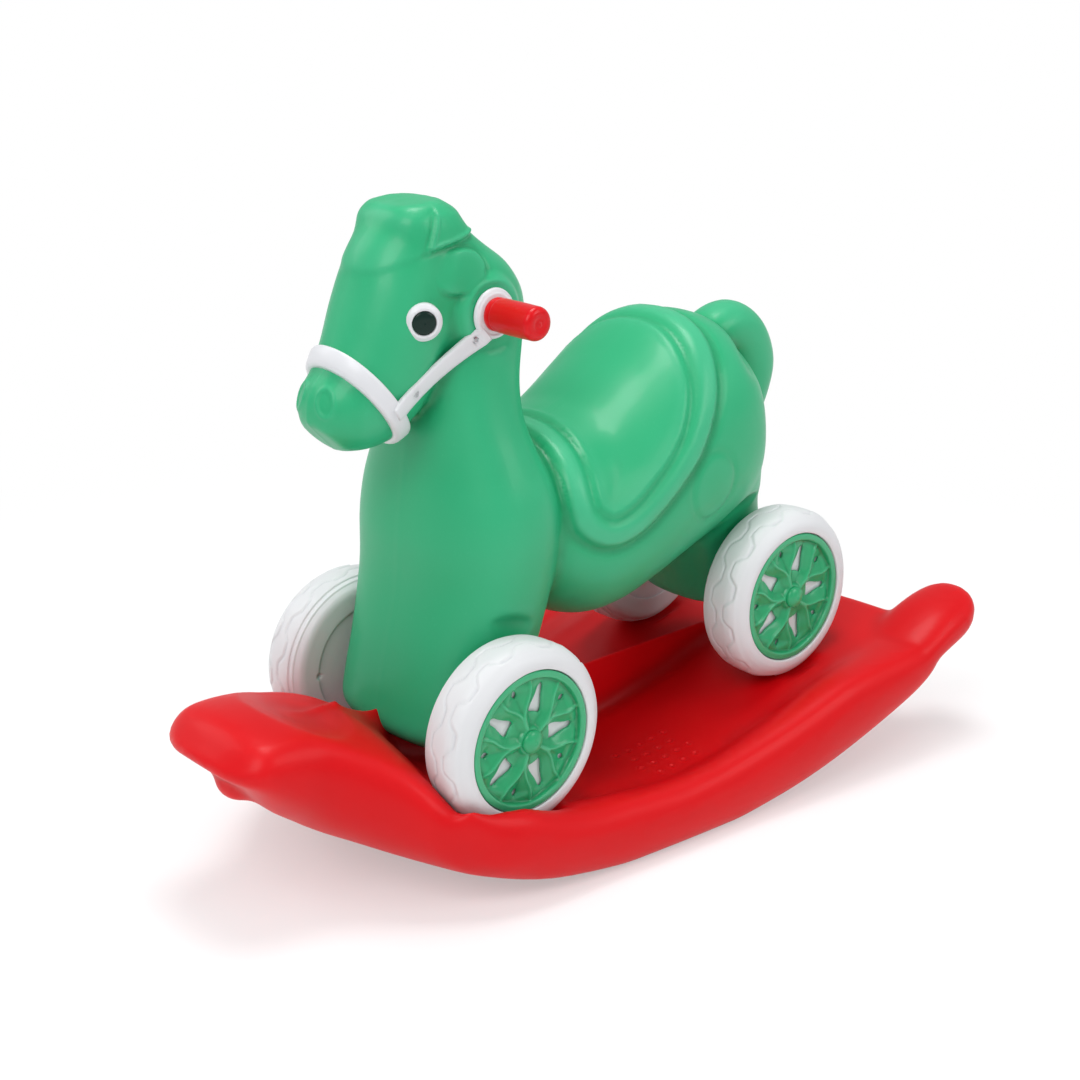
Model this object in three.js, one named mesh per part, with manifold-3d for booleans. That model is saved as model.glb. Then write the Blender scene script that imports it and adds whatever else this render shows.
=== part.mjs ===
// Rocking horse: a hollow ride-on horse on four wheels, parked in the wells of a hollow rocker tray.
// Millimetres. +Z is up, -Y is the way the horse faces, +X is the horse's left.
// The origin is on the floor, at the middle of the small flat that the tray rests on.
import * as THREE from 'three';
import { mergeVertices } from 'three/addons/utils/BufferGeometryUtils.js';
import Module from 'manifold-3d';

const wasm = await Module();
wasm.setup();

// ---- driving sizes ----
const CLEARANCE = 0.3;          // gap between pieces that touch
const WALL = 3.5;               // blow-moulded shells

const WHEELBASE = 300;
const WHEEL_RADIUS = 71;
const WHEEL_WIDTH = 43;
const WHEEL_WALL = 2.8;
const WHEEL_ROOM = 6;           // between a tyre and the leg beside it
const VENT_PLACE = 46;          // moulding vent in a wheel's inner side, from the axle
const VENT_RADIUS = 2;
const FRONT_FACE = 119.4;       // outer face of a front wheel, from the midplane
const REAR_FACE = 102.6;
const AXLE_RADIUS = 4;
const WELL_HEIGHT = 59;         // lowest point of a wheel, taken mid-way between the axles, above the floor
const AXLE_HEIGHT = WELL_HEIGHT + WHEEL_RADIUS;
const AXLE_SHIFT = 20;          // mid-way between the axles, behind the origin
const PITCH = 0.097;            // nose-down lean of the parked horse, radians
const COVER_RADIUS = 53;
const COVER_DEPTH = 9;
const BUSH_RADIUS = 9;
const BUSH_FLANGE = 2.5;
const BUSH_WALL = 1.5;
const BUSH_LENGTH = 14;         // inside the leg

const TRAY_HALF_WIDTH = 170;
const DRAWN_HALF_WIDTH = 170;   // the half width that the plan outline is drawn at
const NOSE = 335;               // front of the tray, as drawn
const TAIL_EDGE = 303;          // deck edge between the horns, as drawn
const ROCKER_RADIUS = 600;
const REST_HALF = 55;           // half the flat under the tray
const TRAY_EDGE = 17;           // rounding of the tray's rim
const FLARE = 40;               // extra rounding under the rim, towards the nose
const RIM_RISE = 0.14;          // of the rim towards the nose, as a share of the tray's depth
const LIP_BLEND = 4;            // either side of the front wheels' outer face
const HORN_HALF_WIDTH = 33;
const HORN_REACH = 40;          // past the deck's edge

const GRIP_RADIUS = 12;
const GRIP_LENGTH = 44.5;
const HANDLE_PLACE = -96;
const HANDLE_Z = 289;
const HANDLE_BAR_RADIUS = 5;
const GRIP_TIP = 8;             // solid end of a grip, past the bar
const DISC_RADIUS = 19.5;
const DISC_THICKNESS = 5;
const SEAT_RIM = 2;             // moulded seat, past the edge of the disc
const DISC_SEAT = 47;           // flat on each side of the head, from the midplane

const STRAP_THICKNESS = 3;
const STRAP_WIDTH = 10;
const BAND_THICKNESS = 5;
const BAND_WIDTH = 13;
const SCREW_HEAD = 3;
const SCREW_SHANK = 1.4;
const SCREW_LENGTH = 7;
const SCREW_SUNK = 1;           // head below the strap's face

const EYE_RADIUS = 14;
const EYE_DEPTH = 9;
const PUPIL_RADIUS = 8.5;
const SADDLE_HEIGHT = 3;

// ---- small tools ----
const bare = geometry => {
  geometry.deleteAttribute('normal');
  geometry.deleteAttribute('uv');
  return mergeVertices(geometry, 1e-4);
};

const solid = geometry => {
  const merged = bare(geometry);
  const index = [...merged.index.array];
  const faces = [];
  for (let i = 0; i < index.length; i += 3) {
    const [a, b, c] = index.slice(i, i + 3);
    if (a !== b && b !== c && c !== a) faces.push(a, b, c);
  }
  const made = new wasm.Manifold(new wasm.Mesh({
    numProp: 3,
    vertProperties: new Float32Array(merged.attributes.position.array),
    triVerts: new Uint32Array(faces),
  }));
  return made;
};

const shape3 = manifold => {
  const mesh = manifold.getMesh();
  const geometry = new THREE.BufferGeometry();
  geometry.setAttribute('position', new THREE.BufferAttribute(new Float32Array(mesh.vertProperties), 3));
  geometry.setIndex([...mesh.triVerts]);
  geometry.computeVertexNormals();
  return geometry;
};

const join = parts => parts.reduce((all, part) => all.add(part));
const cut = (body, parts) => parts.reduce((left, part) => left.subtract(part), body);

// a round bar along X whose flats, not its corners, lie at the radius, so that it clears a round piece
const hole = (radius, from, to, y, z, sides = 24) => {
  const corner = radius / Math.cos(Math.PI / sides);
  const bar = new THREE.CylinderGeometry(corner, corner, to - from, sides);
  bar.rotateZ(-Math.PI / 2);
  bar.translate((from + to) / 2, y, z);
  return solid(bar);
};

// a span along X on one side of the midplane
const between = (side, near, far) => (side > 0 ? [near, far] : [-far, -near]);

// revolve a profile of [radius, along] points about Y, with its faces outwards whichever way it runs
const revolved = (profile, sides) => {
  const points = profile.map(([r, along]) => new THREE.Vector2(r, along));
  return new THREE.LatheGeometry(THREE.ShapeUtils.area(points) < 0 ? points.reverse() : points, sides);
};

// the same about X
const turned = (profile, sides) => {
  const geometry = revolved(profile, sides);
  geometry.rotateZ(-Math.PI / 2);
  return geometry;
};

// smooth curve through [place, value] knots
const through = knots => place => {
  const last = knots.length - 1;
  if (place <= knots[0][0]) return knots[0][1];
  if (place >= knots[last][0]) return knots[last][1];
  const i = knots.findIndex(([at]) => at > place) - 1;
  const slope = k => {
    const a = knots[Math.max(k - 1, 0)];
    const b = knots[Math.min(k + 1, last)];
    return (b[1] - a[1]) / (b[0] - a[0]);
  };
  const [x0, y0] = knots[i];
  const [x1, y1] = knots[i + 1];
  const span = x1 - x0;
  const t = (place - x0) / span;
  const rise = (y1 - y0) / span;
  const bend0 = slope(i) - rise;
  const bend1 = rise - slope(i + 1);
  return y0 + (y1 - y0) * t + span * t * (1 - t) * (bend0 * (1 - t) + bend1 * t);
};

// rings of equally many points, joined by triangles and closed at both ends
const loft = rings => {
  const count = rings[0].length;
  const points = rings.flat();
  const index = [];
  for (let r = 0; r < rings.length - 1; r += 1) {
    for (let k = 0; k < count; k += 1) {
      const next = (k + 1) % count;
      const [a, b, c, d] = [r * count + k, r * count + next, (r + 1) * count + next, (r + 1) * count + k];
      index.push(a, b, c, a, c, d);
    }
  }
  for (const [r, flip] of [[0, true], [rings.length - 1, false]]) {
    const middle = points.length;
    const centre = new THREE.Vector3();
    rings[r].forEach(point => centre.add(point));
    points.push(centre.divideScalar(count));
    for (let k = 0; k < count; k += 1) {
      const [a, b] = [r * count + k, r * count + (k + 1) % count];
      index.push(...(flip ? [b, a, middle] : [a, b, middle]));
    }
  }
  const geometry = new THREE.BufferGeometry().setFromPoints(points);
  geometry.setIndex(index);
  const made = solid(geometry.clone());
  if (made.volume() > 0) return made;
  for (let i = 0; i < index.length; i += 3) [index[i], index[i + 1]] = [index[i + 1], index[i]];
  geometry.setIndex(index);
  return solid(geometry);
};

// a rounded-square ring in a plane that holds X and the direction at 'tilt' from +Y towards +Z
const ring = (y, z, tilt, wide, high, square, sides) => {
  const points = [];
  for (let k = 0; k < sides; k += 1) {
    const turn = (k + 0.5) / sides * 2 * Math.PI;
    const [c, s] = [Math.cos(turn), Math.sin(turn)];
    const across = wide * Math.sign(c) * Math.abs(c) ** (2 / square);
    const up = high * Math.sign(s) * Math.abs(s) ** (2 / square);
    points.push(new THREE.Vector3(across, y + up * Math.cos(tilt), z + up * Math.sin(tilt)));
  }
  return points;
};

// The forms below are drawn about axles 150 mm either side of the origin.
// A place beyond an axle moves with it, and a place between the axles moves in proportion.
const DRAWN_HALF_BASE = 150;
const placed = y => {
  const share = Math.min(Math.max(y / DRAWN_HALF_BASE, -1), 1);
  return y + (WHEELBASE / 2 - DRAWN_HALF_BASE) * share;
};

// ---- the horse's form, in its own frame: origin mid-way between the axles ----
// level slices of the front legs, chest, neck and crown: height, front, back, half width, squareness
const COLUMN = [
  [-24, -180, -122, 56, 2.6], [-19, -190, -112, 65, 2.8], [-6, -200, -104, 70, 3.0],
  [14, -196, -89, 71, 3.0], [49, -184, -71, 73, 2.9], [93, -169, -57, 80, 2.7],
  [130, -163, -51, 85, 2.5], [158, -157, -53, 82, 2.4], [184, -151, -60, 72, 2.3],
  [208, -147, -64, 62, 2.3], [234, -143, -60, 54, 2.3], [262, -141, -50, 49, 2.3],
  [290, -141, -45, 46, 2.4], [314, -146, -57, 43, 2.5], [332, -152, -77, 38, 2.6],
  [348, -157, -97, 33, 2.7], [361, -156, -108, 28, 2.7], [369, -148, -116, 19, 2.6],
];
const column = (grow, sides) => loft(COLUMN.map(([z, front, back, wide, square], i) => {
  const lift = i === 0 ? -grow : i === COLUMN.length - 1 ? grow : 0;
  const middle = placed((front + back) / 2);
  return ring(middle, z + lift, 0, wide + grow, (back - front) / 2 + grow, square, sides);
}));

const HEAD_SQUARE = 2.15;
const TRUNK_SQUARE = 2.25;
const HIND_SQUARE = 2.7;
const TAIL_SQUARE = 2.1;

// head and muzzle: centre, tilt of the slice, half width, half depth
const HEAD = [
  [-104, 342, 2.42, 24, 26], [-118, 330, 2.42, 36, 38], [-134, 310, 2.42, 42, 44],
  [-151, 286, 2.42, 43, 42], [-168, 259, 2.38, 40, 42], [-184, 242, 2.3, 36, 38],
  [-198, 234, 2.26, 33, 34], [-210, 228, 2.24, 27, 26], [-218, 223, 2.24, 17, 16],
];
const head = (grow, sides) => loft(HEAD.map(([y, z, tilt, wide, deep], i) => {
  const along = i === 0 ? -grow : i === HEAD.length - 1 ? grow : 0;
  const [ahead, up] = [placed(y) - along * Math.sin(tilt), z + along * Math.cos(tilt)];
  return ring(ahead, up, tilt, wide + grow, deep + grow, HEAD_SQUARE, sides);
}));

// upright slices of the trunk: place, top, bottom, half width
const TRUNK = [
  [-84, 160, 66, 60], [-60, 174, 44, 76], [-30, 178, 27, 84], [0, 186, 24, 87], [32, 201, 29, 88],
  [66, 218, 37, 88], [98, 231, 44, 87], [126, 231, 50, 84], [148, 222, 58, 76], [164, 204, 70, 61],
  [175, 182, 88, 46], [181, 160, 108, 26],
];
const trunk = (grow, sides, skip = 1) => {
  const slices = TRUNK.filter((_, i) => i % skip === 0 || i === TRUNK.length - 1);
  return loft(slices.map(([y, top, bottom, wide], i) => {
    const along = i === 0 ? -grow : i === slices.length - 1 ? grow : 0;
    const [middle, high] = [(top + bottom) / 2, (top - bottom) / 2 + grow];
    return ring(placed(y) + along, middle, Math.PI / 2, wide + grow, high, TRUNK_SQUARE, sides);
  }));
};

// level slices of the hind legs and hips: height, front, back, half width
const HIND = [
  [-16, 118, 174, 42], [-11, 110, 180, 50], [4, 104, 183, 54], [36, 97, 184, 55], [66, 88, 183, 56],
  [84, 80, 178, 66], [108, 74, 170, 76], [136, 78, 167, 77], [164, 92, 160, 68],
];
const hind = (grow, sides) => loft(HIND.map(([z, front, back, wide], i) => {
  const lift = i === 0 ? -grow : i === HIND.length - 1 ? grow : 0;
  const middle = placed((front + back) / 2);
  return ring(middle, z + lift, 0, wide + grow, (back - front) / 2 + grow, HIND_SQUARE, sides);
}));

// the tail: centre, tilt of the slice, half width and half depth
const TAIL = [
  [138, 186, 1.35, 20, 22], [158, 200, 1.25, 23, 24], [180, 204, 0.9, 24, 25], [200, 192, 0.45, 25, 25],
  [209, 168, 0, 25, 25], [205, 145, -0.25, 23, 23], [195, 123, -0.4, 20, 20], [184, 102, -0.45, 14, 14],
];
const tail = (grow, sides) => loft(TAIL.map(([y, z, tilt, wide, deep]) => (
  ring(placed(y), z, tilt, wide + grow, deep + grow, TAIL_SQUARE, sides))));

// an outline of [y, z] points, pushed along X
const pushed = (outline, from, to) => {
  const shape = new THREE.Shape(outline.map(([y, z]) => new THREE.Vector2(y, z)));
  const slab = new THREE.ExtrudeGeometry(shape, { depth: to - from, bevelEnabled: false });
  slab.applyMatrix4(new THREE.Matrix4().makeBasis(
    new THREE.Vector3(0, 1, 0), new THREE.Vector3(0, 0, 1), new THREE.Vector3(1, 0, 0)));
  slab.translate(from, 0, 0);
  return solid(slab);
};

// the same for an outline drawn on the horse
const pushedThrough = (outline, from, to) => pushed(outline.map(([y, z]) => [placed(y), z]), from, to);

const smooth = (points, count) => new THREE.SplineCurve(points.map(([a, b]) => new THREE.Vector2(a, b)))
  .getPoints(count).map(point => [point.x, point.y]);

// place where a line along X at (y, z) leaves the form, from the outside
const surface = (form, y, z) => {
  const mesh = new THREE.Mesh(shape3(form), new THREE.MeshBasicMaterial());
  const ray = new THREE.Raycaster(new THREE.Vector3(300, y, z), new THREE.Vector3(-1, 0, 0));
  return ray.intersectObject(mesh)[0].point.x;
};

// ---- materials ----
const paint = (colour, roughness, metalness = 0) => () => new THREE.MeshStandardMaterial({
  color: colour, roughness, metalness,
});
const green = paint(0x2eaf7d, 0.35);
const white = paint(0xf2f2f4, 0.45);
const red = paint(0xe5141c, 0.35);
const steel = paint(0x9a9da2, 0.35, 1);
const black = paint(0x0b1a16, 0.2);

const piece = (name, geometry, material) => {
  const mesh = new THREE.Mesh(geometry, material());
  mesh.name = name;
  return mesh;
};

const HANDLE_Y = placed(HANDLE_PLACE);

const horse = new THREE.Group();
horse.position.set(0, AXLE_SHIFT, AXLE_HEIGHT);
horse.rotation.x = PITCH;

// ---- horse body ----
const FRONT_AXLE = -WHEELBASE / 2;
const REAR_AXLE = WHEELBASE / 2;
const legHalf = face => face - WHEEL_WIDTH - BUSH_FLANGE - 2 * CLEARANCE;
const FRONT_LEG = legHalf(FRONT_FACE);
const REAR_LEG = legHalf(REAR_FACE);

const EYE = { y: placed(-151), z: 296, turn: -0.45, seat: 36 };
const eyeFrame = side => new THREE.Matrix4()
  .makeRotationZ(side > 0 ? EYE.turn : Math.PI - EYE.turn)
  .setPosition(side * EYE.seat, EYE.y, EYE.z);
const onEye = (profile, side, sides) => {
  const geometry = turned(profile, sides);
  geometry.applyMatrix4(eyeFrame(side));
  return geometry;
};

const SADDLE = [
  [-40, 232], [-62, 190], [-66, 150], [-58, 118], [-40, 102], [-12, 98], [14, 108], [42, 130],
  [66, 156], [82, 188], [98, 216], [120, 250],
];

const SCREWS = [[-163, 247], [-113, 274]].map(([y, z]) => [placed(y), z]);

const FAR_SIDE = 200;           // past anything that a cut goes through
const SADDLE_TOP = [40, 262];   // closes the saddle's outline above the trunk
const makeBody = () => {
  const form = grow => [column(grow, 18), head(grow, 16), trunk(grow, 18), hind(grow, 16), tail(grow, 12)];
  const flap = pushedThrough([...smooth(SADDLE, 22), SADDLE_TOP], -FAR_SIDE, FAR_SIDE);
  const saddle = trunk(SADDLE_HEIGHT, 18).intersect(flap);
  const seat = hole(DISC_RADIUS + SEAT_RIM, -DISC_SEAT, DISC_SEAT, HANDLE_Y, HANDLE_Z, 20);
  let shell = join([...form(0), saddle, seat]);
  const trims = [];
  for (const [face, y] of [[FRONT_LEG, FRONT_AXLE], [REAR_LEG, REAR_AXLE]]) {
    for (const side of [-1, 1]) {
      trims.push(hole(WHEEL_RADIUS + WHEEL_ROOM, ...between(side, face, FAR_SIDE), y, 0, 32));
    }
  }
  for (const side of [-1, 1]) {
    trims.push(hole(DISC_RADIUS + SEAT_RIM, ...between(side, DISC_SEAT, FAR_SIDE), HANDLE_Y, HANDLE_Z, 20));
  }
  shell = cut(shell, trims);
  const inner = [column(-WALL, 12), head(-WALL, 10), trunk(-WALL, 12, 2), hind(-WALL, 10)];
  let cavity = cut(join(inner), trims);
  const plug = (radius, base, sides) => [-1, 1].map(side => solid(onEye(
    [[0, base], [radius, base], [radius, 2 * EYE_RADIUS], [0, 2 * EYE_RADIUS]], side, sides)));
  const eyes = plug(EYE_RADIUS + CLEARANCE, 0, 20);
  cavity = cut(cavity, plug(EYE_RADIUS + WALL, -WALL, 16));
  const bores = [
    hole(AXLE_RADIUS + BUSH_WALL + CLEARANCE, -FAR_SIDE, FAR_SIDE, FRONT_AXLE, 0, 16),
    hole(AXLE_RADIUS + BUSH_WALL + CLEARANCE, -FAR_SIDE, FAR_SIDE, REAR_AXLE, 0, 16),
    hole(HANDLE_BAR_RADIUS + CLEARANCE, -FAR_SIDE, FAR_SIDE, HANDLE_Y, HANDLE_Z, 16),
    ...SCREWS.flatMap(([y, z]) => [-1, 1].map(side => (
      hole(SCREW_SHANK + CLEARANCE, ...between(side, SCREW_LENGTH, FAR_SIDE), y, z, 8)))),
  ];
  return cut(shell, [cavity, ...eyes, ...bores]);
};
horse.add(piece('horse_body', shape3(makeBody()), green));

// ---- bridle: shells that follow the head at a small gap ----
const faceForm = grow => join([column(grow, 18), head(grow, 16)]);
const muzzleShell = (near, far) => cut(head(far, 16), [faceForm(near)]);

// a flat strip between two [y, z] points, pushed through the head from 'from' to 'to'
const strip = (start, end, width, from, to) => {
  const [y0, z0] = start;
  const [y1, z1] = end;
  const long = Math.hypot(y1 - y0, z1 - z0);
  const [ny, nz] = [-(z1 - z0) / long * width / 2, (y1 - y0) / long * width / 2];
  const corners = [[y0 + ny, z0 + nz], [y1 + ny, z1 + nz], [y1 - ny, z1 - nz], [y0 - ny, z0 - nz]];
  return pushedThrough(corners, from, to);
};

const BAND_TOP = [-213, 281];
const BAND_LOW = [-156, 190];
horse.add(piece('noseband', shape3(muzzleShell(CLEARANCE, BAND_THICKNESS)
  .intersect(strip(BAND_TOP, BAND_LOW, BAND_WIDTH, -FAR_SIDE, FAR_SIDE))), white));

const STRAP_LOW = [-169.5, 244];
const STRAP_HIGH = [-106, 277.5];
const strapSkin = faceForm(CLEARANCE + STRAP_THICKNESS);
const screwSeat = SCREWS.map(([y, z]) => surface(strapSkin, y, z) - SCREW_SUNK);
const strap = side => {
  const half = between(side, STRAP_WIDTH, FAR_SIDE);
  return cut(strapSkin.intersect(strip(STRAP_LOW, STRAP_HIGH, STRAP_WIDTH, ...half)), [
    faceForm(CLEARANCE),
    hole(DISC_RADIUS + SEAT_RIM + CLEARANCE, ...half, HANDLE_Y, HANDLE_Z, 20),
    strip(BAND_TOP, BAND_LOW, BAND_WIDTH + 2 * CLEARANCE, -FAR_SIDE, FAR_SIDE),
    ...SCREWS.map(([y, z]) => hole(SCREW_SHANK + CLEARANCE, ...half, y, z, 12)),
    ...SCREWS.map(([y, z], i) => (
      hole(SCREW_HEAD + CLEARANCE, ...between(side, screwSeat[i], FAR_SIDE), y, z, 16))),
  ]);
};
horse.add(piece('cheek_strap_left', shape3(strap(1)), white));
horse.add(piece('cheek_strap_right', shape3(strap(-1)), white));

// ---- wheel pieces, made about X with the outer face at 0 and the inner side at -WHEEL_WIDTH ----
const BORE = AXLE_RADIUS + CLEARANCE;
const CROWN_OUTER = -16;        // the tyre is cylindrical from here
const CROWN_INNER = 11 - WHEEL_WIDTH;
const wheelProfile = [
  [BORE, -COVER_DEPTH], [COVER_RADIUS + CLEARANCE, -COVER_DEPTH], [COVER_RADIUS + CLEARANCE, -0.6],
  [WHEEL_RADIUS - 10, -1], [WHEEL_RADIUS - 3.5, -7],
  [WHEEL_RADIUS, CROWN_OUTER], [WHEEL_RADIUS, CROWN_INNER],
  [WHEEL_RADIUS - 4, 3 - WHEEL_WIDTH], [WHEEL_RADIUS - 12, -WHEEL_WIDTH], [BORE, -WHEEL_WIDTH],
];
const wheelHub = BORE + WHEEL_WALL;
const wheelHollow = [
  [wheelHub, -COVER_DEPTH - WHEEL_WALL], [COVER_RADIUS + WHEEL_WALL, -COVER_DEPTH - WHEEL_WALL],
  [WHEEL_RADIUS - 10, -1.5 - WHEEL_WALL], [WHEEL_RADIUS - WHEEL_WALL, CROWN_OUTER],
  [WHEEL_RADIUS - WHEEL_WALL, CROWN_INNER], [WHEEL_RADIUS - 13, WHEEL_WALL - WHEEL_WIDTH],
  [wheelHub, WHEEL_WALL - WHEEL_WIDTH],
];
const closed = profile => [...profile, profile[0]];
const tyre = () => cut(solid(turned(closed(wheelProfile), 24)), [solid(turned(closed(wheelHollow), 16)),
  hole(VENT_RADIUS, -WHEEL_WIDTH - 1, 2 * WHEEL_WALL - WHEEL_WIDTH, 0, VENT_PLACE, 8)]);

const CAP_RADIUS = 9;
const BOSS_FACE = -2;           // the cover's boss, which the cap covers
const ARMS = 10;
const PLATE = 3;                // thickness of the cover between its rim and its boss
// a window between two arms: share of the cover's radius, turn from the window's middle
const WINDOW = [[0.4, 0], [0.62, 0.2], [0.81, 0.16], [0.81, -0.16], [0.62, -0.2]];
const cover = () => {
  const back = CLEARANCE - COVER_DEPTH;
  const disc = solid(turned([[BORE, back], [COVER_RADIUS, back], [COVER_RADIUS, -1],
    [COVER_RADIUS - 6, -1], [COVER_RADIUS - 7.5, back + PLATE], [CAP_RADIUS + 3, back + PLATE],
    [CAP_RADIUS + 1, BOSS_FACE], [BORE, BOSS_FACE], [BORE, back]], 24));
  const windows = [];
  for (let i = 0; i < ARMS; i += 1) {
    const middle = (i + 0.5) / ARMS * 2 * Math.PI;
    const at = ([share, turn]) => [
      share * COVER_RADIUS * Math.cos(middle + turn), share * COVER_RADIUS * Math.sin(middle + turn)];
    windows.push(pushed(WINDOW.map(at), -FAR_SIDE, FAR_SIDE));
  }
  return cut(disc, windows);
};

const WHEELS = [
  ['front_left', 1, FRONT_FACE, FRONT_AXLE], ['front_right', -1, FRONT_FACE, FRONT_AXLE],
  ['rear_left', 1, REAR_FACE, REAR_AXLE], ['rear_right', -1, REAR_FACE, REAR_AXLE],
];
const CAP_REACH = 3.5;
const tyreForm = shape3(tyre());
const coverForm = shape3(cover());
const AXLE_END = 1 - CLEARANCE; // past a wheel's outer face
const cap = turned([[BORE, BOSS_FACE + CLEARANCE], [CAP_RADIUS, BOSS_FACE + CLEARANCE], [CAP_RADIUS, 0],
  [CAP_RADIUS - 2.5, 2.4], [0, CAP_REACH], [0, 1], [BORE, 1], [BORE, BOSS_FACE + CLEARANCE]], 12);
const bush = leg => {
  const [start, seat, end] = [leg - BUSH_LENGTH, leg + CLEARANCE, leg + CLEARANCE + BUSH_FLANGE];
  const sleeve = AXLE_RADIUS + BUSH_WALL;
  return turned([[BORE, start], [sleeve, start], [sleeve, seat], [BUSH_RADIUS, seat], [BUSH_RADIUS, end],
    [BORE, end], [BORE, start]], 12);
};

for (const [place, side, face, y] of WHEELS) {
  const corner = new THREE.Group();
  corner.position.set(0, y, 0);
  corner.rotation.z = side > 0 ? 0 : Math.PI;
  const wheel = new THREE.Group();
  wheel.position.x = face;
  wheel.add(piece(`wheel_${place}`, tyreForm, white), piece(`wheel_cover_${place}`, coverForm, green),
    piece(`axle_cap_${place}`, bare(cap.clone()), green));
  corner.add(wheel, piece(`axle_bush_${place}`, bush(legHalf(face)), white));
  horse.add(corner);
}
const AXLES = [['front_axle', FRONT_FACE, FRONT_AXLE], ['rear_axle', REAR_FACE, REAR_AXLE]];
for (const [name, face, y] of AXLES) {
  const rod = new THREE.CylinderGeometry(AXLE_RADIUS, AXLE_RADIUS, 2 * (face + AXLE_END), 16);
  rod.rotateZ(-Math.PI / 2);
  const axle = piece(name, rod, steel);
  axle.position.y = y;
  horse.add(axle);
}

// ---- handle ----
const BAR_END = DISC_SEAT + DISC_THICKNESS + GRIP_LENGTH - GRIP_TIP;
const bar = new THREE.CylinderGeometry(HANDLE_BAR_RADIUS, HANDLE_BAR_RADIUS, 2 * BAR_END, 20);
bar.rotateZ(-Math.PI / 2);
const handleBar = piece('handle_bar', bar, steel);
handleBar.position.set(0, HANDLE_Y, HANDLE_Z);
horse.add(handleBar);
const barRoom = HANDLE_BAR_RADIUS + CLEARANCE;
const discInner = DISC_SEAT + CLEARANCE;
const discOuter = discInner + DISC_THICKNESS;
const disc = turned([[barRoom, discInner], [DISC_RADIUS, discInner], [DISC_RADIUS, discOuter - 2],
  [DISC_RADIUS - 2, discOuter], [barRoom, discOuter], [barRoom, discInner]], 24);
const gripStart = discOuter + CLEARANCE;
const gripEnd = gripStart + GRIP_LENGTH;
const gripBore = BAR_END + CLEARANCE;
const grip = turned([[barRoom, gripStart], [GRIP_RADIUS, gripStart], [GRIP_RADIUS, gripEnd - 6],
  [GRIP_RADIUS - 2, gripEnd - 2], [GRIP_RADIUS - 6, gripEnd], [0, gripEnd],
  [0, gripBore], [barRoom, gripBore], [barRoom, gripStart]], 18);
for (const [label, side] of [['left', 0], ['right', Math.PI]]) {
  const half = new THREE.Group();
  half.position.set(0, HANDLE_Y, HANDLE_Z);
  half.rotation.z = side;
  half.add(piece(`handle_disc_${label}`, disc.clone(), white));
  half.add(piece(`handle_grip_${label}`, grip.clone(), red));
  horse.add(half);
}

// ---- bridle screws ----
const HEAD_BACK = 0.15;         // of the head, above the seat's clearance
const screwProfile = [[0, -SCREW_LENGTH], [SCREW_SHANK, 1 - SCREW_LENGTH], [SCREW_SHANK, HEAD_BACK],
  [SCREW_HEAD, HEAD_BACK], [SCREW_HEAD, 1.2], [SCREW_HEAD - 1, 1.9], [0, 1.9]];
SCREWS.forEach(([y, z], i) => {
  const seat = screwSeat[i] + CLEARANCE;
  const level = i === 0 ? 'lower' : 'upper';
  for (const [label, turn] of [['left', 0], ['right', Math.PI]]) {
    const screw = piece(`bridle_screw_${level}_${label}`, turned(screwProfile, 10), steel);
    const side = new THREE.Group();
    side.position.set(0, y, z);
    side.rotation.z = turn;
    screw.position.x = seat;
    side.add(screw);
    horse.add(side);
  }
});

// ---- eyes ----
const PUPIL_SEAT = EYE_DEPTH - 2;
const eyeWhite = [[0, CLEARANCE], [EYE_RADIUS, CLEARANCE], [EYE_RADIUS, EYE_DEPTH - 1.5],
  [EYE_RADIUS - 1.5, EYE_DEPTH], [PUPIL_RADIUS + CLEARANCE, EYE_DEPTH + 0.5],
  [PUPIL_RADIUS + CLEARANCE, PUPIL_SEAT], [0, PUPIL_SEAT]];
const eyePupil = [[0, PUPIL_SEAT + CLEARANCE], [PUPIL_RADIUS, PUPIL_SEAT + CLEARANCE],
  [PUPIL_RADIUS, EYE_DEPTH + 0.2], [PUPIL_RADIUS - 2.5, EYE_DEPTH + 1.2], [0, EYE_DEPTH + 1.6]];
for (const [label, side] of [['left', 1], ['right', -1]]) {
  horse.add(piece(`eye_white_${label}`, onEye(eyeWhite, side, 20), white));
  horse.add(piece(`eye_pupil_${label}`, onEye(eyePupil, side, 16), black));
}

// ---- tray, in the part's own frame ----
const onTray = y => placed(y - AXLE_SHIFT) + AXLE_SHIFT;
const TRAY_NOSE = -onTray(-NOSE);
const TRAY_TAIL = onTray(TAIL_EDGE);
const spread = x => x * TRAY_HALF_WIDTH / DRAWN_HALF_WIDTH;
// plan outline of one side: half width and place
const OUTLINE = [
  [0, -NOSE], [34, 3 - NOSE], [56, 17 - NOSE], [62, -292], [66, -268], [84, -242], [112, -214],
  [135, -182], [146, -142], [152, -70], [157, 0], [161, 70], [166, 140], [169, 210], [170, 260],
  [164, TAIL_EDGE - 18], [144, TAIL_EDGE - 2], [100, TAIL_EDGE], [50, TAIL_EDGE], [0, TAIL_EDGE],
].map(([x, y]) => [spread(x), onTray(y)]);
// height of the deck along the midline
const deck = through([
  [-331, 132], [-315, 145], [-300, 148], [-270, 146], [-240, 137], [-225, 133], [-210, 126],
  [-195, 114], [-184, 97], [-174, 83], [-164, 75], [-150, 67], [-129, 61], [-100, 54], [-60, 47],
  [0, 42], [60, 47], [120, 60], [169, 74], [230, 88], [270, 96], [302, 101],
].map(([y, z]) => [onTray(y), z]));
// rim outboard of the front wheels, above the deck
const lipRise = through([
  [-260, 0], [-230, 12], [-206, 25], [-187, 31], [-164, 19], [-139, 8], [-118, 8],
  [-70, 9], [-20, 4], [40, 0],
].map(([y, z]) => [onTray(y), z]));
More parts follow.
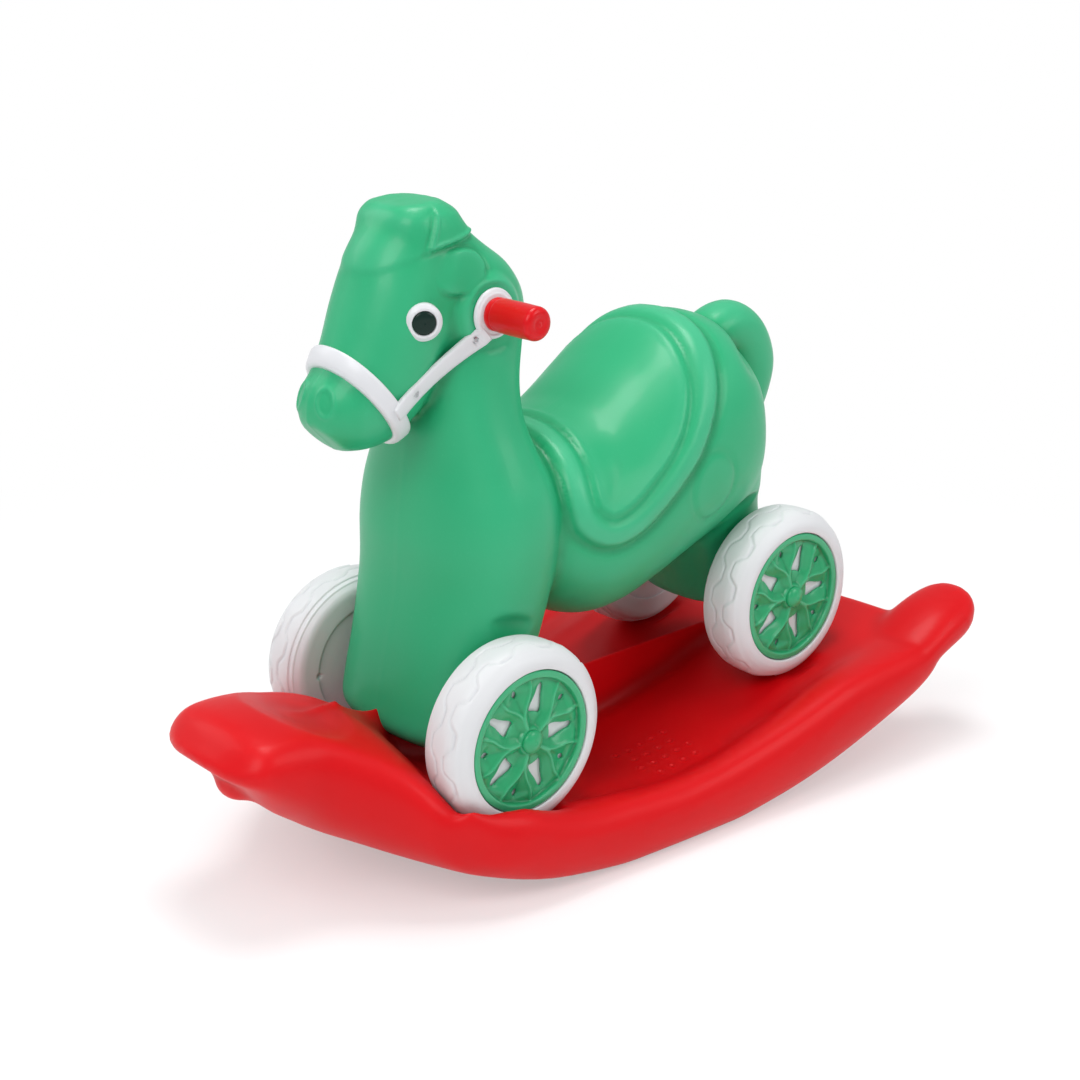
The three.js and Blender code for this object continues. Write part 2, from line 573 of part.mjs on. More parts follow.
// rim along each side, beside and ahead of the rear wheels, above the deck
const sideRise = through([
  [-70, 0], [0, 7], [60, 10], [170, 10], [225, 5], [265, 0],
].map(([y, z]) => [onTray(y), z]));
const [SIDE_INNER, SIDE_OUTER] = [112, 140].map(spread);
const CROWN = 0.0028;           // how fast the hump falls away from the midline
const NOSE_LIFT = 22;           // of the underside, at the nose
const [LIFT_PLACE, BOW_PLACE, BOW_END] = [245, 120, 260].map(ahead => -onTray(-ahead));
const easeStep = (value, from, to) => {
  const t = Math.min(Math.max((value - from) / (to - from), 0), 1);
  return t * t * (3 - 2 * t);
};
const deckHeight = (x, y) => {
  const hump = CROWN * x * x * (1 - easeStep(y, onTray(-200), onTray(-140)));
  const lip = easeStep(Math.abs(x), FRONT_FACE - LIP_BLEND, FRONT_FACE + LIP_BLEND);
  const side = easeStep(Math.abs(x), SIDE_INNER, SIDE_OUTER);
  return deck(y) - hump + lip * lipRise(y) + side * sideRise(y);
};
const underside = y => Math.max(0, (y * y - REST_HALF * REST_HALF) / (2 * ROCKER_RADIUS))
  + NOSE_LIFT * easeStep(-y, LIFT_PLACE, TRAY_NOSE);

const SPINE_AHEAD = 70;         // the line that the rows of the tray close in on, from the nose
const SPINE_BEHIND = 40;        // and from the tail
const trayForm = (inset, count, steps) => {
  const curve = new THREE.SplineCurve(OUTLINE.map(([x, y]) => new THREE.Vector2(x, y)));
  const half = curve.getSpacedPoints(count);
  const right = half.map(point => [Math.max(point.x, 0), point.y]);
  right[0][0] = 0;
  right[count][0] = 0;
  const left = right.slice(1, -1).reverse().map(([x, y]) => [-x, y]);
  const around = [...right, ...left];
  const edge = TRAY_EDGE - inset;
  const spine = [SPINE_AHEAD - TRAY_NOSE, TRAY_TAIL - SPINE_BEHIND];
  const rows = [];
  const place = (x0, y0, share, up) => {
    const y1 = Math.min(Math.max(y0, spine[0]), spine[1]);
    const long = Math.hypot(x0, y1 - y0);
    const start = inset / long;
    const s = start + (1 - start) * share(long);
    const x = x0 * (1 - s);
    const y = y0 + (y1 - y0) * s;
    const bow = easeStep(-y, BOW_PLACE, BOW_END);
    const depth = Math.min(Math.max(long * s - inset, 0) / (up ? edge : edge + FLARE * bow), 1);
    const round = Math.sqrt(Math.max(1 - (1 - depth) ** 2, 0));
    const top = deckHeight(x, y) - inset;
    const low = underside(y) + inset;
    const middle = low + (top - low) * (0.5 + RIM_RISE * bow);
    return new THREE.Vector3(x, y, up ? middle + (top - middle) * round : middle - (middle - low) * round);
  };
  const shareOf = step => long => {
    const rim = edge / (long - inset);
    return step <= 1 ? step * rim : rim + (1 - rim) * (step - 1);
  };
  const row = (step, up) => rows.push(around.map(([x, y]) => place(x, y, shareOf(step), up)));
  [...steps].reverse().forEach(step => row(step, true));
  row(0, true);
  steps.forEach(step => row(step, false));
  const size = around.length;
  const index = [];
  for (let r = 0; r < rows.length - 1; r += 1) {
    for (let k = 0; k < size; k += 1) {
      const next = (k + 1) % size;
      const [a, b, c, d] = [r * size + k, r * size + next, (r + 1) * size + next, (r + 1) * size + k];
      index.push(a, c, b, a, d, c);
    }
  }
  const geometry = new THREE.BufferGeometry().setFromPoints(rows.flat());
  geometry.setIndex(index);
  return solid(geometry);
};

const WELL_INNER = 10;          // room beside a wheel in its well
const WELL_OUTER = 1.5;
const WELL_ROOM = 0.4;          // under a wheel
const wells = grow => WHEELS.map(([, side, face, axle]) => {
  const [y, z] = [AXLE_SHIFT + axle * Math.cos(PITCH), AXLE_HEIGHT + axle * Math.sin(PITCH)];
  const span = between(side, face - WHEEL_WIDTH - WELL_INNER - grow, face + WELL_OUTER + grow);
  return hole(WHEEL_RADIUS + WELL_ROOM + grow, ...span, y, z, 48);
});
const NUB_RADIUS = 19;
const NUB_PLACE = 38;           // behind the nose
const NUB_HEIGHT = 99;
const nub = (() => {
  const ball = new THREE.SphereGeometry(NUB_RADIUS, 16, 10);
  ball.rotateX(Math.PI / 2);
  ball.scale(1, 1, 0.85);
  ball.translate(0, NUB_PLACE - TRAY_NOSE, NUB_HEIGHT);
  return solid(ball);
})();
const PLUG_Y = onTray(130);
const plugLean = Math.atan(PLUG_Y / ROCKER_RADIUS);
const plugPlace = new THREE.Matrix4().makeRotationX(plugLean).setPosition(0, PLUG_Y, underside(PLUG_Y));
const plugSolid = profile => {
  const geometry = revolved(profile, 14);
  geometry.rotateX(Math.PI / 2);
  geometry.applyMatrix4(plugPlace);
  return geometry;
};
const PLUG_RADIUS = 7;
// an upturned horn at each rear corner: place behind the deck's edge, middle height, half width, half height
const HORN = [[-88, 56, 0.6, 9], [-60, 70, 0.82, 15], [-34, 83, 0.96, 19], [-8, 95, 1, 21],
  [HORN_REACH - 22, 103, 0.95, 20], [HORN_REACH - 8, 109, 0.74, 16], [HORN_REACH, 112, 0.4, 9]];
const HORN_SQUARE = 2.2;
const horn = (side, inset, sides) => loft(HORN.map(([behind, z, wide, high], i) => {
  const y = TRAY_TAIL + behind - (i === HORN.length - 1 ? inset : 0);
  const across = side * (TRAY_HALF_WIDTH - HORN_HALF_WIDTH);
  const slice = ring(y, z, Math.PI / 2, wide * HORN_HALF_WIDTH - inset, high - inset, HORN_SQUARE, sides);
  return slice.map(point => point.setX(point.x + across));
}));
const horns = (inset, sides) => [-1, 1].map(side => horn(side, inset, sides));

// rows of the tray from its edge inwards: up to 1 across the rounded rim, then to 2 at the spine
const OUTER_ROWS = [0.06, 0.3, 0.65, 1, 1.18, 1.5, 2];
const INNER_ROWS = [0.4, 1, 1.18, 1.5, 2];
const plugRoom = PLUG_RADIUS + CLEARANCE;
const plugHole = solid(plugSolid([[0, -WALL], [plugRoom, -WALL], [plugRoom, 3 * WALL], [0, 3 * WALL]]));
const hollow = cut(join([trayForm(WALL, 26, INNER_ROWS), ...horns(WALL, 10)]), wells(WALL));
const tray = cut(join([trayForm(0, 36, OUTER_ROWS), nub, ...horns(0, 16)]), [hollow, ...wells(0), plugHole]);
const horseOnTray = new THREE.Group();
horseOnTray.add(piece('rocker_tray', shape3(tray), red));
horseOnTray.add(piece('tray_plug', plugSolid([[0, -1.8], [PLUG_RADIUS + 3, -1.8], [PLUG_RADIUS + 3.5, -0.6],
  [PLUG_RADIUS, -0.6], [PLUG_RADIUS, 6], [PLUG_RADIUS - 2, 6], [PLUG_RADIUS - 2, 0.5], [0, 0.5]]), red));
horseOnTray.add(horse);

export default horseOnTray;
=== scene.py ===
# Rocking horse: a blow-moulded horse on four wheels, parked in the wells of a red rocker tray.
import math
import bmesh
import bpy
import numpy as np
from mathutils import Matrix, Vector


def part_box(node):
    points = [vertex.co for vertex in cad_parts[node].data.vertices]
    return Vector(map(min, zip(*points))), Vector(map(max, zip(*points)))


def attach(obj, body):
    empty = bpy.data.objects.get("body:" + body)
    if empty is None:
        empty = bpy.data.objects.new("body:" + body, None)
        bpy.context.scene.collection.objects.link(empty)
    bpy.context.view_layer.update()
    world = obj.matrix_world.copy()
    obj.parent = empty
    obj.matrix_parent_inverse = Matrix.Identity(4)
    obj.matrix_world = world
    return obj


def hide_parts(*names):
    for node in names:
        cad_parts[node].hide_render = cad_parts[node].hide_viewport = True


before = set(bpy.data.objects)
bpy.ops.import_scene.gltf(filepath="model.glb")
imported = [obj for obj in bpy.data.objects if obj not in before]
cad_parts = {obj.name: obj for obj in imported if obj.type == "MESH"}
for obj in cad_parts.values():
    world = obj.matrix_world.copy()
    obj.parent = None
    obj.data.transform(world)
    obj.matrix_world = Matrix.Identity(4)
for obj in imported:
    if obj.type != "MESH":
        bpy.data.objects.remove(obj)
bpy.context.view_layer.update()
print("frame loaded")


# where things are, from the frame
def middleOf(node):
    low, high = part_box(node)
    return np.array((low + high) / 2)


mm = 0.001
corners = ("front_left", "front_right", "rear_left", "rear_right")
frontAxle, rearAxle = middleOf("front_axle"), middleOf("rear_axle")
halfBase = np.linalg.norm(rearAxle - frontAxle) / 2 / mm
between = (frontAxle + rearAxle) / 2
lean = math.atan2(rearAxle[2] - frontAxle[2], rearAxle[1] - frontAxle[1])


def toFrame(points):
    # the horse's own millimetres, turned by the lean about the middle of the axles, in the frame's metres
    x, y, z = points[..., 0], points[..., 1], points[..., 2]
    c, s = math.cos(lean), math.sin(lean)
    turned = np.stack((x, y * c - z * s, y * s + z * c), -1)
    return turned * mm + between * (0, 1, 1)


def turnToHorse(ways):
    # directions turned back by the lean
    x, y, z = np.moveaxis(ways, -1, 0)
    c, s = math.cos(lean), math.sin(lean)
    return np.stack((x, y * c + z * s, z * c - y * s), -1)


def toHorse(points):
    # the frame's metres as the horse's own millimetres
    return turnToHorse((points - between * (0, 1, 1)) / mm)


# shapes as arrays
def ease(value, start, end):
    # 0 before start, 1 after end, and 3t^2 - 2t^3 between
    t = np.clip((value - start) / (end - start), 0, 1)
    return t * t * (3 - 2 * t)


def bell(value, centre, width):
    # 1 at the centre, falling as e to the minus square of the distance in widths
    return np.exp(-(((value - centre) / width) ** 2))


def flowing(rows, count):
    # Catmull-Rom through the rows, evenly from the first to the last
    rows = np.asarray(rows, float)
    place = np.linspace(0, len(rows) - 1, count)
    i = np.minimum(place.astype(int), len(rows) - 2)
    f = (place - i)[:, None]
    p = np.pad(rows, ((1, 1), (0, 0)), mode="reflect", reflect_type="odd")
    a, b, c, d = p[i], p[i + 1], p[i + 2], p[i + 3]
    return b + 0.5 * f * (c - a + f * (2 * a - 5 * b + 4 * c - d + f * (3 * (b - c) + d - a)))


def closedFlow(rows, count):
    # the same round a closed outline
    rows = np.asarray(rows, float)
    loop = flowing(np.concatenate((rows[-2:], rows, rows[:3])), (len(rows) + 4) * 24 + 1)[48:-48]
    return loop[np.linspace(0, len(loop) - 1, count, endpoint=False).astype(int)]


def rings(y, z, tilt, wide, high, square, sides):
    # rounded-square rings: across, along X, is the half width times the cosine to the power of two over the
    # squareness, with its sign kept; up, along the tilt, is the same with the half height and the sine
    turn = (np.arange(sides) + 0.5) / sides * 2 * np.pi
    c, s = np.cos(turn), np.sin(turn)
    given = (y, z, tilt, wide, high, square)
    y, z, tilt, wide, high, square = (np.broadcast_to(v, np.shape(y))[:, None] for v in given)
    across = wide * np.sign(c) * np.abs(c) ** (2 / square)
    up = high * np.sign(s) * np.abs(s) ** (2 / square)
    return np.stack((across, y + up * np.cos(tilt), z + up * np.sin(tilt)), -1)


def gridQuads(rows, cols, wrapRows=False, wrapCols=True):
    # one quad for each cell of a grid, its corners in turn
    r, c = np.meshgrid(np.arange(rows - (not wrapRows)), np.arange(cols - (not wrapCols)), indexing="ij")
    below, beside = (r + 1) % rows, (c + 1) % cols
    quads = (r * cols + c, r * cols + beside, below * cols + beside, below * cols + c)
    return np.stack(quads, -1).reshape(-1, 4)


def skinned(grid):
    # a row of closed rings as a skin, with a fan to the middle of each end ring
    rows, cols = grid.shape[:2]
    points = np.concatenate((grid.reshape(-1, 3), grid[:1].mean(1), grid[-1:].mean(1)))
    k = np.arange(cols)
    n = (k + 1) % cols
    last = (rows - 1) * cols
    first = np.stack((n, k, np.full(cols, rows * cols)), 1)
    final = np.stack((k + last, n + last, np.full(cols, rows * cols + 1)), 1)
    return points, gridQuads(rows, cols), np.concatenate((first, final))


def revolved(profile, sides):
    # (radius, along) points turned about X: y = r cos, z = r sin; both ends lie on the axis
    profile = np.asarray(profile, float)
    turn = np.arange(sides) / sides * 2 * np.pi
    r, x = profile[:, :1], profile[:, 1:]
    return skinned(np.stack((x + 0 * turn, r * np.cos(turn), r * np.sin(turn)), -1))


def volumeOf(points, quads, tris):
    # six times the volume: each triangle's corners as a triple product, summed
    faces = np.concatenate((quads[:, [0, 1, 2]], quads[:, [0, 2, 3]], tris))
    a, b, c = points[faces[:, 0]], points[faces[:, 1]], points[faces[:, 2]]
    return np.einsum("ij,ij->i", a, np.cross(b, c)).sum()


def newPiece(name, parts):
    # closed skins as one mesh, each turned so that its volume is positive
    points, quads, tris, start = [], [], [], 0
    for p, q, t in parts:
        q, t = np.asarray(q, int).reshape(-1, 4), np.asarray(t, int).reshape(-1, 3)
        if volumeOf(p, q, t) < 0:
            q, t = q[:, ::-1], t[:, ::-1]
        points.append(p)
        quads.append(q + start)
        tris.append(t + start)
        start += len(p)
    points, quads, tris = np.concatenate(points), np.concatenate(quads), np.concatenate(tris)
    mesh = bpy.data.meshes.new(name)
    mesh.vertices.add(len(points))
    mesh.vertices.foreach_set("co", points.astype(np.float32).ravel())
    corners = np.concatenate((quads.ravel(), tris.ravel())).astype(np.int32)
    mesh.loops.add(len(corners))
    mesh.loops.foreach_set("vertex_index", corners)
    starts = np.concatenate((np.arange(len(quads)) * 4, len(quads) * 4 + np.arange(len(tris)) * 3))
    mesh.polygons.add(len(starts))
    mesh.polygons.foreach_set("loop_start", starts.astype(np.int32))
    mesh.update(calc_edges=True)
    mesh.validate()
    mesh.shade_smooth()
    piece = bpy.data.objects.new(name, mesh)
    bpy.context.scene.collection.objects.link(piece)
    return piece


def settle(piece):
    # the modifiers become the mesh
    bpy.context.view_layer.update()
    made = bpy.data.meshes.new_from_object(piece.evaluated_get(bpy.context.evaluated_depsgraph_get()))
    piece.modifiers.clear()
    old = piece.data
    piece.data = made
    made.name = piece.name
    bpy.data.meshes.remove(old)
    made.shade_smooth()
    return piece


def remade(piece, cell):
    # overlapping skins run together into one, on a grid of that cell
    fuse = piece.modifiers.new("fuse", "REMESH")
    fuse.mode, fuse.voxel_size = "VOXEL", cell
    return settle(piece)


def pointsOf(piece, kind="vertices", what="co", size=3, dtype=np.float32):
    # one of the mesh's lists as an array
    data = getattr(piece.data, kind)
    out = np.empty(len(data) * size, dtype)
    data.foreach_get(what, out)
    return out.reshape(-1, size).astype(float if dtype == np.float32 else int)


def normalsOf(piece):
    return pointsOf(piece, "vertex_normals", "vector")


def setPoints(piece, points):
    piece.data.vertices.foreach_set("co", points.astype(np.float32).ravel())
    piece.data.update()


def averaged(values, edges):
    # each vertex's mean over the vertices that share an edge with it
    a, b = edges.T
    both, other = np.concatenate((a, b)), np.concatenate((b, a))
    count = np.bincount(both, minlength=len(values))
    total = np.stack([np.bincount(both, values[other, k], len(values)) for k in range(values.shape[1])], 1)
    return total / np.maximum(count, 1)[:, None]


def edgesOf(piece):
    return pointsOf(piece, "edges", "vertices", 2, np.int32)


def relax(piece, times, share=0.5, where=None):
    # moves each vertex towards its neighbours' mean, by the share and by where, from 0 to 1
    points, edges = pointsOf(piece), edgesOf(piece)
    weight = share if where is None else share * where[:, None]
    for _ in range(times):
        points = points + (averaged(points, edges) - points) * weight
    setPoints(piece, points)


def markFolds(piece, reach, scale):
    # "fold", positive on ridges and negative in hollows: how far a vertex stands off its neighbours' mean;
    # the plastics paint shade into the hollows and a highlight onto the ridges from it
    points, edges = pointsOf(piece), edgesOf(piece)
    wide = points
    for _ in range(reach):
        wide = averaged(wide, edges)
    off = np.einsum("ij,ij->i", points - wide, normalsOf(piece))[:, None]
    for _ in range(3):
        off = averaged(off, edges)
    mark = piece.data.attributes.new("fold", "FLOAT", "POINT")
    mark.data.foreach_set("value", np.clip(off[:, 0] / scale, -1, 1).astype(np.float32))


def refine(piece, near, cuts):
    # finer faces where near(points) is true
    inside = near(pointsOf(piece))
    net = bmesh.new()
    net.from_mesh(piece.data)
    net.verts.ensure_lookup_table()
    chosen = [e for e in net.edges if inside[e.verts[0].index] and inside[e.verts[1].index]]
    bmesh.ops.subdivide_edges(net, edges=chosen, cuts=cuts, use_grid_fill=True)
    net.to_mesh(piece.data)
    net.free()
    piece.data.shade_smooth()


def outlineDepth(at, outline):
    # distance from flat points to a closed outline, positive inside it
    a, b = outline, np.roll(outline, -1, 0)
    best = np.full(len(at), 1e9)
    crossings = np.zeros(len(at), int)
    for (ay, az), (by, bz) in zip(a, b):
        ey, ez = by - ay, bz - az
        py, pz = at[:, 0] - ay, at[:, 1] - az
        t = np.clip((py * ey + pz * ez) / (ey * ey + ez * ez), 0, 1)
        best = np.minimum(best, np.hypot(py - t * ey, pz - t * ez))
        spans = (az > at[:, 1]) != (bz > at[:, 1])
        crossings += spans & (py < ey * pz / (ez if ez else 1e-9))
    return np.where(crossings % 2 == 1, best, -best)


# what the surfaces are made of
class Wire:
    # a socket or a number, so that sums of sockets read as sums
    def __init__(self, paint, socket):
        self.paint, self.socket = paint, socket

    def sum(self, operation, first, second):
        return self.paint.node("ShaderNodeMath", {"operation": operation}, {0: first, 1: second})

    def __add__(self, other):
        return self.sum("ADD", self, other)

    def __radd__(self, other):
        return self.sum("ADD", other, self)

    def __sub__(self, other):
        return self.sum("SUBTRACT", self, other)

    def __rsub__(self, other):
        return self.sum("SUBTRACT", other, self)

    def __mul__(self, other):
        return self.sum("MULTIPLY", self, other)

    def __rmul__(self, other):
        return self.sum("MULTIPLY", other, self)


class Paint:
    # one material and its nodes
    def __init__(self, name, **fixed):
        self.material = bpy.data.materials.new(name)
        self.material.use_nodes = True
        self.tree = self.material.node_tree
        self.shader = self.tree.nodes["Principled BSDF"]
        for socket, value in fixed.items():
            self.shader.inputs[socket.replace("_", " ")].default_value = value
        self.place = self.node("ShaderNodeTexCoord", {}, {}, "Object")

    def node(self, kind, settings, inputs, output=0):
        made = self.tree.nodes.new(kind)
        for key, value in settings.items():
            if key == "stops":
                ramp = made.color_ramp
                while len(ramp.elements) < len(value):
                    ramp.elements.new(0.5)
                for stop, (place, colour) in zip(ramp.elements, value):
                    stop.position, stop.color = place, colour
            else:
                setattr(made, key, value)
        for key, value in inputs.items():
            if isinstance(value, Wire):
                self.tree.links.new(value.socket, made.inputs[key])
            else:
                made.inputs[key].default_value = value
        return Wire(self, made.outputs[output])

    def seen(self):
        # 1 for rays from the camera, off shiny faces and through clear ones
        path = self.tree.nodes.new("ShaderNodeLightPath")
        kinds = ("Is Camera Ray", "Is Glossy Ray", "Is Transmission Ray")
        camera, glossy, clear = (Wire(self, path.outputs[k]) for k in kinds)
        return camera + glossy + clear

    def give(self, socket, wire):
        self.tree.links.new(wire.socket, self.shader.inputs[socket])

    def noise(self, scale, detail=3, roughness=0.5, place=None):
        inputs = {"Vector": place or self.place, "Scale": scale, "Detail": detail, "Roughness": roughness}
        return self.node("ShaderNodeTexNoise", {}, inputs, "Fac")

    def blend(self, factor, a, b):
        # colours are mixed with a Mix node; a and b may be colours or wires
        return self.node("ShaderNodeMix", {"data_type": "RGBA"}, {0: factor, 6: a, 7: b}, 2)

    def ramp(self, wire, *stops):
        return self.node("ShaderNodeValToRGB", {"stops": stops}, {"Fac": wire})

    def bump(self, height, strength, distance, normal=None):
        inputs = {"Height": height, "Strength": strength, "Distance": distance}
        if normal:
            inputs["Normal"] = normal
        return self.node("ShaderNodeBump", {}, inputs)


def grey(value):
    return (value, value, value, 1)


def mouldedPlastic(name, colour, creaseShade, paleSpeckAndRidgeHighlight, roughness, coat, paintedFoldShading=False, grain=0.00006, gloss=0.4):
    # plastic from a mould: slow colour drift, faint flow marks, fine grain, thin scuffs, and, with fold
    # shading on, painted shade in the hollows and a painted highlight on the ridges
    paint = Paint(name, Coat_Weight=coat, Coat_Roughness=0.12, Specular_IOR_Level=gloss)
    drift = paint.ramp(paint.noise(5, 2), (0.3, grey(0)), (0.7, grey(1)))
    tone = paint.blend(drift, colour, [c * 0.93 for c in colour[:3]] + [1])
    if paintedFoldShading:
        # painted shade darkens the hollows of the fold mark towards the crease colour, and a painted
        # highlight pales its ridges
        fold = paint.node("ShaderNodeAttribute", {"attribute_name": "fold"}, {}, "Fac")
        tone = paint.blend(paint.ramp(fold * -1, (0.05, grey(0)), (0.8, grey(0.8))), tone, creaseShade)
        tone = paint.blend(paint.ramp(fold, (0.08, grey(0)), (0.9, grey(0.55))), tone, paleSpeckAndRidgeHighlight)
    speck = paint.noise(420, 2)
    tone = paint.blend(paint.ramp(speck, (0.62, grey(0)), (0.8, grey(0.12))), tone, paleSpeckAndRidgeHighlight)
    paint.give("Base Color", tone)
    along = {"Vector": paint.place, "Rotation": (0.4, 0.2, 0.7), "Scale": (260, 26, 60)}
    stretched = paint.node("ShaderNodeMapping", {}, along)
    scuff = paint.ramp(paint.noise(1, 4, 0.6, stretched), (0.6, grey(0)), (0.72, grey(1)))
    wear = paint.ramp(paint.noise(11, 3), (0.45, grey(0)), (0.75, grey(1)))
    paint.give("Roughness", roughness + paint.noise(38, 4) * 0.1 - 0.05 + scuff * wear * 0.12)
    flow = paint.bump(paint.noise(26, 3), 0.35, 0.0006)
    peel = paint.bump(paint.noise(1500, 2), 0.5, grain, flow)
    paint.give("Normal", peel)
    return paint.material


def brushedSteel(name):
    # fine lines across the metal, in its colour, roughness and height
    paint = Paint(name, Metallic=1.0)
    lines = paint.node("ShaderNodeMapping", {}, {"Vector": paint.place, "Scale": (3000, 60, 60)})
    mark = paint.noise(1, 3, 0.6, lines)
    paint.give("Base Color", paint.blend(mark, (0.42, 0.43, 0.45, 1), (0.62, 0.63, 0.65, 1)))
    paint.give("Roughness", 0.24 + mark * 0.2)
    paint.give("Normal", paint.bump(mark, 0.25, 0.00003))
    return paint.material


# each plastic: its colour, the painted shade for its hollows, the pale colour of its specks and painted ridge
# highlights, roughness and coat
finishes = {
    "green": mouldedPlastic("green_plastic", (0.016, 0.385, 0.165, 1), (0.003, 0.22, 0.08, 1),
                            (0.07, 0.48, 0.26, 1), 0.41, 0.1, paintedFoldShading=True, gloss=0.36),
    "greenHard": mouldedPlastic("green_hard_plastic", (0.014, 0.36, 0.14, 1), (0.003, 0.18, 0.06, 1),
                                (0.07, 0.47, 0.24, 1), 0.33, 0.3, paintedFoldShading=True),
    "white": mouldedPlastic("white_plastic", (0.71, 0.715, 0.73, 1), (0.40, 0.41, 0.46, 1),
                            (0.76, 0.76, 0.77, 1), 0.46, 0.05, paintedFoldShading=True),
    "whiteHard": mouldedPlastic("white_trim_plastic", (0.70, 0.705, 0.73, 1), (0.5, 0.5, 0.5, 1),
                                (0.76, 0.76, 0.77, 1), 0.36, 0.1),
    "red": mouldedPlastic("red_plastic", (0.64, 0.001, 0.004, 1), (0.33, 0.001, 0.002, 1),
                          (0.72, 0.008, 0.012, 1), 0.42, 0.04, paintedFoldShading=True, gloss=0.18),
    "redGrip": mouldedPlastic("red_grip_plastic", (0.66, 0.001, 0.005, 1), (0.4, 0.001, 0.003, 1),
                              (0.74, 0.01, 0.015, 1), 0.32, 0.1, gloss=0.24),
    "black": mouldedPlastic("pupil_plastic", (0.006, 0.022, 0.017, 1), (0, 0, 0, 1),
                            (0.01, 0.03, 0.024, 1), 0.16, 0.0, gloss=0.22),
    "steel": brushedSteel("plated_steel"),
}
print("finishes made")


def finishPiece(piece, finish, body, slot, *nodes):
    # material and body, and hides the CAD nodes that the piece stands for; the slot is not used
    piece.data.materials.clear()
    piece.data.materials.append(finishes[finish])
    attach(piece, body)
    if nodes:
        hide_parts(*nodes)
    return piece


# the horse's shell
horseSet = {
    "cell": 2.7 * mm, "steps": 70, "sides": 72,
    # round flats beside the wheels, and half widths of the legs there
    "wheelRoom": 77, "frontLeg": 73.3, "rearLeg": 56.5,
    "handle": (-96, 289), "discSeat": 46.6, "discEdge": 21.5,
    # level slices of the front legs, chest, neck and crown: height, front, back, half width, squareness
    "column": [(-24, -180, -122, 56, 2.6), (-19, -190, -112, 65, 2.8), (-6, -200, -104, 70, 3.0),
               (14, -196, -89, 71, 3.0), (49, -184, -71, 73, 2.9), (93, -169, -57, 80, 2.7),
               (130, -163, -51, 85, 2.5), (158, -157, -53, 82, 2.4), (184, -151, -60, 72, 2.3),
               (208, -147, -64, 62, 2.3), (234, -143, -60, 54, 2.3), (262, -141, -50, 49, 2.3),
               (290, -141, -45, 46, 2.4), (314, -146, -57, 43, 2.6), (332, -151, -77, 39, 2.8),
               (348, -155, -94, 37, 3.1), (361, -154, -101, 33, 3.1), (369, -147, -108, 26, 2.9)],
    # head and muzzle: centre, tilt, half width, half depth
    "head": [(-106, 343, 2.42, 26, 30), (-121, 331, 2.42, 38, 42), (-136, 311, 2.42, 42, 47),
             (-152, 287, 2.42, 43, 43.5), (-168, 259, 2.38, 40, 42), (-184, 242, 2.3, 36, 38),
             (-198, 234, 2.26, 33, 34), (-210, 228, 2.24, 27, 26), (-218, 223, 2.24, 17, 16)],
    # upright slices of the trunk: place, top, bottom, half width
    "trunk": [(-84, 168, 66, 60), (-60, 182, 44, 76), (-30, 179, 27, 84), (0, 185, 24, 87),
              (32, 200, 29, 88), (66, 217, 37, 88), (98, 230, 44, 87), (126, 231, 50, 84),
              (148, 222, 58, 76), (164, 204, 70, 60), (175, 182, 88, 46), (181, 160, 108, 26)],
    # level slices of the hind legs and hips: height, front, back, half width
    "hind": [(-16, 118, 174, 42), (-11, 110, 180, 50), (4, 104, 183, 54), (36, 97, 184, 55),
             (66, 88, 183, 56), (84, 80, 178, 66), (108, 74, 170, 76), (136, 78, 167, 76),
             (164, 92, 160, 66)],
    # tail: centre, tilt, half width, half depth
    "tail": [(138, 186, 1.35, 20, 22), (158, 199, 1.25, 22, 23), (180, 203, 0.9, 23, 24),
             (199, 191, 0.45, 24, 24), (208, 168, 0, 24, 24), (204, 145, -0.25, 22, 22),
             (194, 123, -0.4, 19, 19), (184, 102, -0.45, 13, 13)],
    # middle and half sizes: the tufts behind the ears and the ovals on the hips, seen from the side, and the
    # nostrils, seen from the front
    "tuft": (-117, 322, 22, 15.5), "hip": (77, 115, 24, 27), "nostril": (14, 251, 6, 9.5),
    # the saddle flap's edge seen from the side
    "saddle": [(-36, 236), (-40, 200), (-52, 176), (-62, 146), (-60, 122), (-44, 105), (-22, 100), (4, 107),
               (36, 125), (64, 147), (86, 174), (100, 198), (116, 232), (112, 262), (36, 280)],
}


def fineOnHorse(points):
    # the nostrils, and the ears with the tufts behind them
    x, y, z = toHorse(points).T
    return (y < -203) | ((z > 300) & (y > -150) & (y < -88) & (np.abs(x) > 7))


def horseParts(s):
    # five lofts that overlap, each along a smooth run of its slices
    sides = s["sides"]
    forms = ("column", "head", "trunk", "hind", "tail")
    column, head, trunk, hind, tail = (flowing(s[k], s["steps"]).T for k in forms)
    z, front, back, wide, square = column
    yield rings((front + back) / 2, z, 0, wide, (back - front) / 2, square, sides)
    yield rings(head[0], head[1], head[2], head[3], head[4], 2.15, sides)
    y, top, bottom, wide = trunk
    yield rings(y, (top + bottom) / 2, np.pi / 2, wide, (top - bottom) / 2, 2.25, sides)
    z, front, back, wide = hind
    yield rings((front + back) / 2, z, 0, wide, (back - front) / 2, 2.7, sides)
    yield rings(tail[0], tail[1], tail[2], tail[3], tail[4], 2.1, sides)


def saddleHeight(s, y, z):
    # a raised flap whose edge rolls up to a ridge, dips to a channel and rises again round the seat
    depth = outlineDepth(np.stack((y, z), 1), closedFlow(s["saddle"], 90))
    flap = 5.4 * ease(depth, -1, 4.5) + 1.1 * bell(depth, 13, 4.5)
    channel = -2.1 * bell(depth, 21, 3.0) + 1.3 * bell(depth, 25.2, 1.8)
    seat = -2.4 * ease(depth, 27, 50)
    return flap + channel + seat - 1.6 * bell(depth, -3, 2.6)


